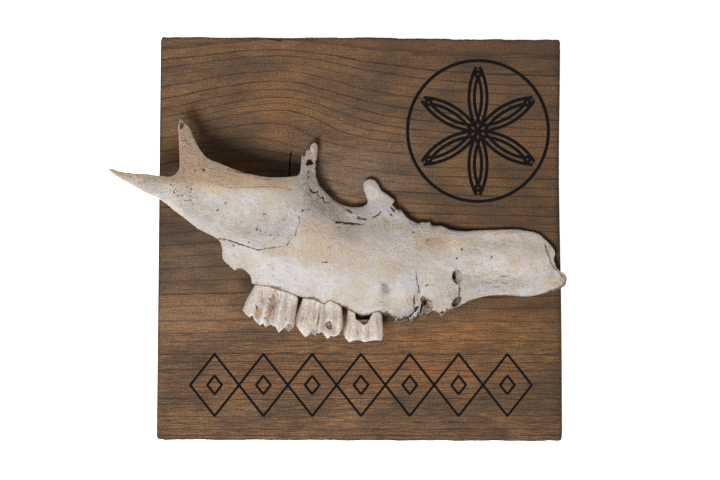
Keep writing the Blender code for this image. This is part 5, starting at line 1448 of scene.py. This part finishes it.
# Sides are the level, then the left and the right corner there. Edges and ribs go along the tooth
# from 0 to 1 and give a rise. Pits and ochre stains are given as those of the jaw are.
TEETH = {
    "back_molar": dict(
        sides=(
            (-9, (-48, -14.5), (-33, -20.5)),
            (0, (-52, -22.5), (-30.8, -29.5)),
            (6.5, (-56, -29.4), (-31.8, -35.5)),
            (13.6, (-58.2, -34.9), (-32.9, -43.2)),
            (19, (-58.9, -40.2), (-33.4, -48.4)),
        ),
        cheek_edge=(
            (0, 0), (0.06, 1.3), (0.14, 2.4), (0.2, 0.8), (0.24, 3), (0.36, 4.6), (0.41, 3),
            (0.47, 4.7), (0.55, 2.6), (0.61, 2.8), (0.65, 2.6), (0.73, 5.3), (0.78, 3.4),
            (0.83, 1.5), (0.92, 2.6), (1, 0.3),
        ),
        tongue_edge=(
            (0, -3), (0.2, 1), (0.45, -2), (0.68, 2.5), (0.79, 1.5), (0.91, 3.4), (1, -1),
        ),
        ribs=(
            (0, -1.6), (0.05, -0.3), (0.12, 0.4), (0.2, 0.3), (0.27, -0.5), (0.3, -0.6),
            (0.36, 0.3), (0.42, 0.5), (0.48, -0.4), (0.53, -1.3), (0.58, -1.2), (0.63, 0.2),
            (0.69, 0.8), (0.75, 0.2), (0.82, -0.2), (0.9, 0.3), (1, -1.4),
        ),
        pits=(
            (-43.4, -32, 1.6, 7, -12, 0.7, 0.3), (-43.2, -33.4, 0.8, 1.1, 0, 1.1, 0.7),
            (-44.6, -29, 0.6, 0.9, 20, 0.8, 0.5), (-42.6, -28.4, 0.5, 0.7, 0, 0.7, 0.5),
            (-44.6, -37, 0.6, 0.9, 0, 0.7, 0.45), (-43, -36.4, 0.5, 0.6, 0, 0.7, 0.5),
            (-51.2, -33.4, 0.45, 1.7, 18, 1, 0.85), (-48.2, -29.9, 0.5, 0.6, 0, 0.3, 0.45),
            (-34.9, -43.2, 2, 1.9, 0, 1, 0.42), (-35.2, -42.2, 0.8, 0.7, 0, 1.2, 0.62),
            (-48.5, -26.3, 0.3, 4, 4, 0.4, 0.45), (-36.6, -36.5, 0.25, 6, -6, 0.4, 0.4),
            (-33.6, -37.2, 0.25, 4, -8, 0.3, 0.35), (-41, -33.5, 0.3, 7.5, -12, 0.5, 0.45),
            (-50.6, -38.5, 0.3, 3, 12, 0.4, 0.4), (-45.6, -31, 0.35, 0.5, 30, 0.7, 0.6),
            (-46, -38.6, 0.4, 0.7, 0, 0.7, 0.5), (-44, -35.2, 0.3, 0.6, 20, 0.8, 0.7),
            (-42, -31.5, 0.3, 0.6, 0, 0.8, 0.6), (-44.4, -32.8, 0.3, 0.5, 0, 0.8, 0.7),
            (-42.4, -35, 0.3, 0.5, 0, 0.8, 0.6), (-41.8, -25.5, 0.35, 0.5, 0, 0.7, 0.7),
            (-40.9, -27, 0.3, 0.6, 20, 0.7, 0.75), (-43, -27.4, 0.3, 0.45, 0, 0.7, 0.7),
            (-44, -29.4, 0.35, 0.4, 0, 0.7, 0.75), (-41.4, -31.6, 0.3, 0.4, 0, 0.7, 0.7),
            (-45.2, -34.4, 0.35, 0.5, 20, 0.8, 0.75), (-46.4, -35.9, 0.45, 0.35, 0, 0.8, 0.7),
            (-45, -37.6, 0.4, 0.4, 0, 0.8, 0.75), (-47, -38.6, 0.5, 0.4, 0, 0.8, 0.8),
            (-45.8, -40, 0.4, 0.35, 0, 0.7, 0.7), (-43.2, -38.9, 0.3, 0.5, 0, 0.7, 0.6),
            (-48.6, -30.2, 0.4, 0.5, 20, 0.5, 0.6),
        ),
        ochre=(
            (-50.4, -36, 1.6, 2.6, -20, 0.9), (-48.4, -30, 1.2, 2, 0, 0.5),
            (-44, -32, 2.2, 7, -12, 0.45), (-54.5, -36, 2.5, 2, 0, 0.3),
            (-37.5, -34, 0.7, 7, -8, 0.4), (-35, -38, 1, 5, -8, 0.35),
        ),
        middle=24.6, width=17,
    ),
    "middle_molar": dict(
        sides=(
            (-9, (-26.5, -22.5), (-11, -25.5)),
            (0, (-28.8, -30.5), (-8.9, -34.7)),
            (6, (-31.2, -36.8), (-8.5, -40)),
            (10.8, (-32.2, -41.9), (-8.9, -44.6)),
            (16.5, (-32.3, -47.6), (-9.8, -50.3)),
        ),
        cheek_edge=(
            (0, 0), (0.07, 2), (0.14, 3.8), (0.21, 5.5), (0.25, 5.4), (0.3, 4.6), (0.37, 2.6),
            (0.45, 2.8), (0.53, 3), (0.58, 2), (0.6, 2.8), (0.66, 4.2), (0.7, 5.1), (0.73, 4.9),
            (0.79, 3.5), (0.84, 3.8), (0.9, 3.3), (0.95, 2.2), (1, 0),
        ),
        tongue_edge=(
            (0, -3), (0.25, 2), (0.37, 3.8), (0.45, 4.5), (0.55, 0), (0.75, 3), (1, -3),
        ),
        ribs=(
            (0, -1.6), (0.05, -0.2), (0.1, 0.5), (0.17, -0.1), (0.24, 0.5), (0.3, 0.3),
            (0.36, -0.6), (0.43, -0.9), (0.48, 0.3), (0.53, 0.8), (0.57, -0.2), (0.6, -0.8),
            (0.67, 0.1), (0.75, 0.5), (0.82, -0.1), (0.88, -0.2), (0.94, 0.4), (1, -1.3),
        ),
        pits=(
            (-15.4, -42.3, 1.5, 2, 10, 1.9, 0.75), (-15, -41, 0.8, 0.8, 0, 1.4, 0.6),
            (-22.6, -45.4, 2, 1.6, 0, 0.9, 0.36), (-16.6, -41.4, 0.6, 0.5, 0, 1.2, 0.7),
            (-14.4, -43.6, 0.6, 0.7, 0, 1.6, 0.85), (-26.4, -35, 0.35, 0.8, 10, 0.25, 0.4),
            (-29.2, -39.6, 0.5, 0.4, 0, 0.3, 0.5), (-28.4, -38, 0.4, 0.35, 0, 0.3, 0.4),
            (-22.4, -36, 0.25, 5.5, -6, 0.35, 0.38), (-20.7, -39.5, 0.35, 4.5, -8, 0.8, 0.6),
            (-17.6, -42, 0.25, 3, 4, 0.5, 0.5), (-22.8, -45.4, 0.9, 0.7, 0, 1, 0.5),
            (-12.6, -45.8, 1.2, 1.2, 0, 0.8, 0.3), (-25, -39, 0.22, 6, -8, 0.3, 0.35),
            (-27.2, -40.8, 0.35, 0.5, 0, 0.3, 0.5), (-13, -38, 0.22, 5, -3, 0.3, 0.3),
        ),
        ochre=(
            (-29, -39, 1.8, 2, 0, 0.7), (-15, -44.5, 2.4, 1.6, 0, 0.6),
            (-20.3, -38, 0.5, 7, -8, 0.5), (-25.6, -37, 0.6, 6, -8, 0.25),
            (-12, -40, 0.7, 5, -4, 0.35), (-17.5, -36, 0.6, 3, 0, 0.3),
        ),
        middle=22.8, width=17,
    ),
    "front_molar": dict(
        sides=(
            (-8, (-4.5, -27.7), (9.3, -27.8)),
            (0, (-6.1, -35.4), (10.7, -35.8)),
            (5.5, (-6.6, -40.9), (11.3, -41.3)),
            (11.7, (-8.4, -46.6), (11.5, -48)),
            (16, (-8.6, -50.9), (11.6, -52.3)),
        ),
        cheek_edge=(
            (0, 0), (0.07, 2.3), (0.12, 3.4), (0.16, 4.1), (0.22, 3.4), (0.31, 2.7), (0.42, 2.6),
            (0.48, 3.1), (0.54, 3.4), (0.62, 3), (0.7, 2.5), (0.83, 2), (0.95, 2), (1, 0),
        ),
        tongue_edge=(
            (0, -3), (0.25, 1.5), (0.5, -1.5), (0.75, 1.5), (1, -3),
        ),
        ribs=(
            (0, -1.4), (0.06, 0.1), (0.14, 0.5), (0.24, 0.2), (0.33, -0.3), (0.37, -0.8),
            (0.41, -0.2), (0.48, 0.5), (0.55, 0.5), (0.63, -0.2), (0.68, -0.5), (0.75, 0.1),
            (0.83, 0.4), (0.9, 0.2), (0.95, -0.2), (1, -1.3),
        ),
        pits=(
            (-1.2, -45.5, 0.3, 3, 2, 0.35, 0.4), (4.6, -46.5, 0.25, 2.5, 0, 0.35, 0.35),
            (8.6, -42.5, 0.22, 6, 2, 0.3, 0.4), (-4.9, -43.5, 0.22, 5, -4, 0.3, 0.35),
        ),
        ochre=(
            (9, -42, 0.6, 6, 3, 0.5), (7.6, -41, 0.4, 5, 0, 0.3), (-5, -43, 0.8, 4, 0, 0.35),
            (-1, -45, 0.8, 3.5, 0, 0.35), (5, -46, 1.5, 2, 0, 0.25),
        ),
        middle=18.8, width=16.4,
    ),
}


def tooth_shape(size, net_size, rows, grow=0.0):
    """A tooth, or its socket when grown: points, faces, and the values kept on its points."""
    levels, *sides = zip(*size["sides"])
    left, right = (np.array(side, float) for side in sides)
    length = np.linalg.norm(right[1] - left[1])
    section = np.array(TOOTH_SECTION) * (length, size["width"])
    section = inset(turning_left(smooth_path(section, net_size, closed=True)), -grow)
    guides = [inset(section, 0.35 * net_size)]
    net, net_faces = filled(section, guides, net_size, clear=0.25 * net_size)
    root_net, root_faces = filled(section, (), ROOT_NET, clear=0.8)

    def biting_edge(points):
        along, across = points[:, 0] / length + 0.5, points[:, 1] / size["width"]
        cheek = levels[-2] + np.interp(along, *zip(*size["cheek_edge"]))
        tongue = levels[-2] + np.interp(along, *zip(*size["tongue_edge"]))
        lobe = np.abs(((along * 2) % 1) - 0.5) * 2
        pit = np.minimum(cheek, tongue) - PIT_DEPTH * (1 - lobe**2)
        away = np.clip((BITE_HALF - across) / (2 * BITE_HALF), 0, 1)
        biting = cheek + (tongue - cheek) * away
        biting += (pit - biting) * smooth_step(1 - np.abs(away - 0.5) / PIT_HALF)
        return biting - TONGUE_WEAR * smooth_step((TONGUE_FROM - across) / TONGUE_REACH)

    root = np.full(len(root_net), levels[0] - grow)
    nets = (net, net_faces), (root_net, root_faces)
    rim = len(section)
    points, faces = closed_relief(rim, *nets, biting_edge(net), root, rows)
    if not grow:
        walls = len(net) + len(root_net)
        for start, distance in zip((0, walls, walls + rim), EDGE_BULGES):
            points[start : start + rim, :2] += sideways(section, closed=True) * distance
    along, height = points[:, 0] / length + 0.5, points[:, 2]
    level = np.clip(height, levels[0], None)
    start, end = (
        np.column_stack([np.interp(level, levels, column) for column in side.T])
        for side in (left, right)
    )
    place = start + (end - start) * along[:, None]
    place[:, 1] += level - height
    share = NECK_SHARE + (1 - NECK_SHARE) * smooth_step(height / (0.7 * levels[-2]))
    out = BOARD_THICK + size["middle"] + points[:, 1] * share
    if grow:
        return np.column_stack([place, out]), faces, {}

    on_cheek = np.clip(points[:, 1] / (0.4 * size["width"]), 0, 1) ** 2
    ribs = np.interp(along, *zip(*size["ribs"])) * (0.35 + 0.65 * smooth_step((height + 2) / 8))
    sink, soil = pitted(place, size["pits"], 0.12)
    # Painted shade, with some soil, along the gum line where the tooth goes into the bone.
    soil = np.maximum(soil, ramp_down(near_to(place, jaw_gum, 2.0), GUM_REACH))
    inwards = HOLLOW_REACH - near_to(net, section, HOLLOW_REACH, closed=True)
    values = dict(
        along=along * length,
        down=height,
        soil=soil * on_cheek,
        groove_shade=np.clip(-ribs, 0, 1) * on_cheek,
        cusp=np.clip((height - levels[-2] + 1.0) / 5.0, 0, 1),
        hollow=np.append(ramp_down(inwards, 1.6), np.zeros(len(points) - len(net))),
        ochre=np.clip(patches(place, size["ochre"]), 0, 1) * on_cheek,
    )
    return np.column_stack([place, out + on_cheek * (ribs - sink)]), faces, values


enamel = Finish("worn_enamel")
where = enamel.add("ShaderNodeCombineXYZ", enamel.value("along"), enamel.value("down"), 0.0).outputs[0]
along_tooth = enamel.add("ShaderNodeVectorMath", where, (1.7, 0.16, 1.0), operation="MULTIPLY")
streak = enamel.noise(along_tooth.outputs[0], 4.0, 0.6)
blotch = enamel.noise((0.6, 0.4, 0.4), 3.0, 0.55)
fleck = enamel.noise((1.3, 1.0, 1.0), 3.0, 0.65)
pore = enamel.noise((1.3, 1.1, 1.1), 2.0, turn=0.6, shift=(50, 20, 0))
spot = enamel.noise((0.5, 0.4, 0.4), 3.0, 0.6, shift=(30, 60, 0))
colour = enamel.mix(enamel.range(blotch, 0.3, 0.7), linear(212, 205, 198), linear(200, 189, 177))
colour = enamel.mix(enamel.range(streak, 0.5, 0.66, 0.0, 0.5), colour, linear(180, 162, 142))
colour = enamel.mix(enamel.range(streak, 0.42, 0.3, 0.0, 0.4), colour, linear(226, 224, 224))
cusp = enamel.range(enamel.value("cusp"), 0.2, 0.9, 0.0, 0.6)
colour = enamel.mix(cusp, colour, linear(222, 222, 226))
# Painted shade, with some stain, in the grooves between the ribs.
groove_shade = enamel.range(enamel.value("groove_shade"), 0.15, 1.0, 0.0, 0.5)
colour = enamel.mix(groove_shade, colour, linear(156, 142, 128))
colour = enamel.mix(enamel.range(spot, 0.55, 0.7, 0.0, 0.5), colour, linear(186, 156, 122))
colour = enamel.mix(enamel.range(spot, 0.42, 0.3, 0.0, 0.5), colour, linear(178, 172, 170))
ochre = enamel.maths("MULTIPLY", enamel.value("ochre"), enamel.range(fleck, 0.35, 0.6, 0.5, 1.3))
colour = enamel.mix(ochre, colour, linear(176, 132, 84))
specks = enamel.maths("MULTIPLY", enamel.value("ochre"), enamel.range(pore, 0.52, 0.62))
colour = enamel.mix(specks, colour, linear(92, 66, 46))
hollow = enamel.range(enamel.value("hollow"), 0.1, 0.9, 0.0, 0.75)
colour = enamel.mix(hollow, colour, linear(138, 128, 120))
# Soil, with painted shade in the pits and along the gum line, darkens the enamel.
soil = enamel.maths("MULTIPLY", enamel.value("soil"), enamel.range(fleck, 0.25, 0.6, 1.2, 0.75))
colour = enamel.mix(enamel.range(soil, 0.1, 0.6, 0.0, 0.85), colour, linear(112, 84, 60))
colour = enamel.mix(enamel.range(soil, 0.55, 0.95), colour, linear(40, 28, 20))
relief = enamel.maths("ADD", streak, enamel.maths("MULTIPLY", fleck, 0.6))
colour = enamel.toned(colour, 1.0, ((fleck, 1.3), (streak, 1.0), (pore, 0.8)))
worn_enamel = enamel.finish(
    Base_Color=colour, Roughness=enamel.range(blotch, 0.3, 0.7, 0.3, 0.45),
    Normal=enamel.bump(relief, 0.5, 0.3),
)

crust = Finish("root_crust")
crumbs = crust.noise((0.9, 0.9, 0.9), 4.0, 0.6)
root_crust = crust.finish(
    Base_Color=crust.mix(crust.range(crumbs, 0.3, 0.65), linear(150, 130, 108), linear(70, 52, 38)),
    Roughness=0.8, Normal=crust.bump(crumbs, 0.6, 0.4),
)

for name, size in TEETH.items():
    points, faces, values = tooth_shape(size, TOOTH_NET, TOOTH_ROWS)
    made = dressed(
        name + "_crown", points, faces, worn_enamel, slot="tooth", sharp=60, stands_for=[name],
        **values,
    )
    if name == "front_molar":
        fork = smooth_path(ROOT_FORK, 0.6)
        scoop = plug(fork + (0, -0.2), FORK_LIP_DEPTH, FORK_LIP_TOP, (0, FORK_LIP_SLIDE))
        arch = plug(np.maximum(fork, (-99, FORK_LIP)), FORK_FLOOR, FORK_TOP)
        cut_out(made, [scoop, arch], root_crust)
    points, faces, _ = tooth_shape(size, SOCKET_NET, SOCKET_ROWS, grow=SOCKET_CLEAR)
    cut_out(jaw_piece, [(points, faces)], root_crust)

# Thin white flakes of bone stand on edge in the broken sockets, with dried fibres of the gum
# caught between them. Each is given as a run of points, how far it stands over the bone's face,
# and its half width.
FLAKES = (
    (((28.2, -24.6), (27.8, -27.9), (28.4, -30.9)), 0.1, 0.5),
    (((30.2, -30.4), (29.8, -32.8), (28.6, -35.2), (27.3, -37.4)), -1, 0.36),
    (((21.2, -37.7), (23.6, -37.2), (25.7, -36), (27.3, -34.3)), -0.3, 0.4),
)
FIBRES = (
    (((23.9, -40.4), (25.4, -42), (26.7, -39.4), (27.9, -38.6), (29.4, -38.4), (30.4, -39.9)), -5,
      0.13),
    (((26.7, -39.6), (27.9, -35.9), (29.7, -33.4)), -2, 0.12),
    (((17, -40.1), (19.4, -41), (21.7, -40), (23.9, -39.6)), -4, 0.12),
    (((12.9, -36.2), (15.5, -38.2), (17.4, -40)), -3.5, 0.12),
    (((31.9, -39.2), (32.9, -35.9), (32.4, -32)), -2.5, 0.12),
    (((30.4, -39.6), (31.9, -36.9), (31.7, -31.9)), -3, 0.12),
    (((24.6, -40.8), (26.9, -38.2), (29.2, -34.2)), -3, 0.1),
)
STRAND_SIDES = 8
TIP_THINNING = 0.75


def strand_tree():
    """Geometry nodes that draw each path out into a closed strand, flat or round."""
    tree, given, circle, shaped, width, strand = begun_tree(
        "strands", "GeometryNodeCurvePrimitiveCircle", "GeometryNodeTransform",
        "GeometryNodeInputRadius", "GeometryNodeCurveToMesh", Profile=(1, 1, 1),
    )
    circle.inputs["Resolution"].default_value = STRAND_SIDES
    circle.inputs["Radius"].default_value = MM
    strand.inputs["Fill Caps"].default_value = True
    link = tree.links.new
    link(circle.outputs["Curve"], shaped.inputs["Geometry"])
    link(given.outputs["Profile"], shaped.inputs["Scale"])
    link(given.outputs["Geometry"], strand.inputs["Curve"])
    link(shaped.outputs["Geometry"], strand.inputs["Profile Curve"])
    link(width.outputs["Radius"], strand.inputs["Scale"])
    return ended_tree(tree, given, strand.outputs["Mesh"])


flake = Finish("socket_flake")
stain = flake.mix(flake.noise((0.7, 0.7, 0.7)), linear(206, 202, 200), linear(150, 138, 126))
socket_flake = flake.finish(Base_Color=stain, Roughness=0.6)
dried_gum = Finish("dried_gum").finish(Base_Color=linear(164, 146, 126), Roughness=0.6)
STRANDS = (
    ("socket_flakes", FLAKES, (1, 0.35, 1), socket_flake),
    ("gum_fibres", FIBRES, (1, 1, 1), dried_gum),
)
for name, strands, profile, finish in STRANDS:
    lines = []
    for path, over, half in strands:
        path = smooth_path(path, 0.4)
        to_end = np.abs(np.linspace(-1, 1, len(path))) ** 3
        lines.append((path, bone_face(path) + over + BOARD_THICK, half * (1 - TIP_THINNING * to_end)))
    made = grown(name, curve_of(name, lines), strand_tree(), Profile=profile, Finish=finish)
    declare(made)

# The floor is a plain white sheet of acrylic, lit from below. One soft lamp stands high over
# the board's near edge, to the left, with a weaker one above. The camera looks straight
# down on the board from far off.
FLOOR = 6.0
floor_mesh = bpy.data.meshes.new("floor")
floor_corners = [(x * FLOOR, y * FLOOR, 0) for x, y in ((-1, -1), (1, -1), (1, 1), (-1, 1))]
floor_mesh.from_pydata(floor_corners, [], [(0, 1, 2, 3)])
floor = bpy.data.objects.new("floor", floor_mesh)
bpy.context.scene.collection.objects.link(floor)
white_acrylic = Finish("white_acrylic").finish(
    Base_Color=(0.9, 0.9, 0.9, 1.0), Roughness=0.6,
    Emission_Color=(1.0, 1.0, 1.0, 1.0), Emission_Strength=0.95,
)
floor_mesh.materials.append(white_acrylic)

world = bpy.data.worlds.new("studio")
bpy.context.scene.world = world
world.use_nodes = True
sky = world.node_tree.nodes["Background"].inputs
sky["Color"].default_value = (0.96, 0.98, 1.0, 1.0)
sky["Strength"].default_value = 0.13


def soft_lamp(name, place, size, watts, colour):
    """A round lamp that faces the middle of the board."""
    light = bpy.data.lights.new(name, "AREA")
    light.shape = "DISK"
    light.size = size
    light.energy = watts
    light.color = colour
    lamp = bpy.data.objects.new(name, light)
    lamp.location = place
    lamp.rotation_euler = (-Vector(place)).to_track_quat("-Z", "Y").to_euler()
    bpy.context.scene.collection.objects.link(lamp)


soft_lamp("near_lamp", (-0.34, -0.62, 1.86), 0.55, 35.0, (1.0, 0.985, 0.965))
soft_lamp("top_lamp", (0.1, -0.2, 2.2), 1.4, 4.0, (0.97, 0.985, 1.0))

CAMERA_HEIGHT = 4.0
SENSOR = 36.0
PICTURE_WIDTH = 360.0
camera = bpy.data.cameras.new("camera")
camera.sensor_width = SENSOR
camera.lens = SENSOR * CAMERA_HEIGHT / (PICTURE_WIDTH * MM)
camera.clip_end = 100.0
viewer = bpy.data.objects.new("camera", camera)
viewer.location = (0, 0, CAMERA_HEIGHT + BOARD_THICK * MM)
bpy.context.scene.collection.objects.link(viewer)
bpy.context.scene.camera = viewer
bpy.context.scene.view_settings.view_transform = "Standard"
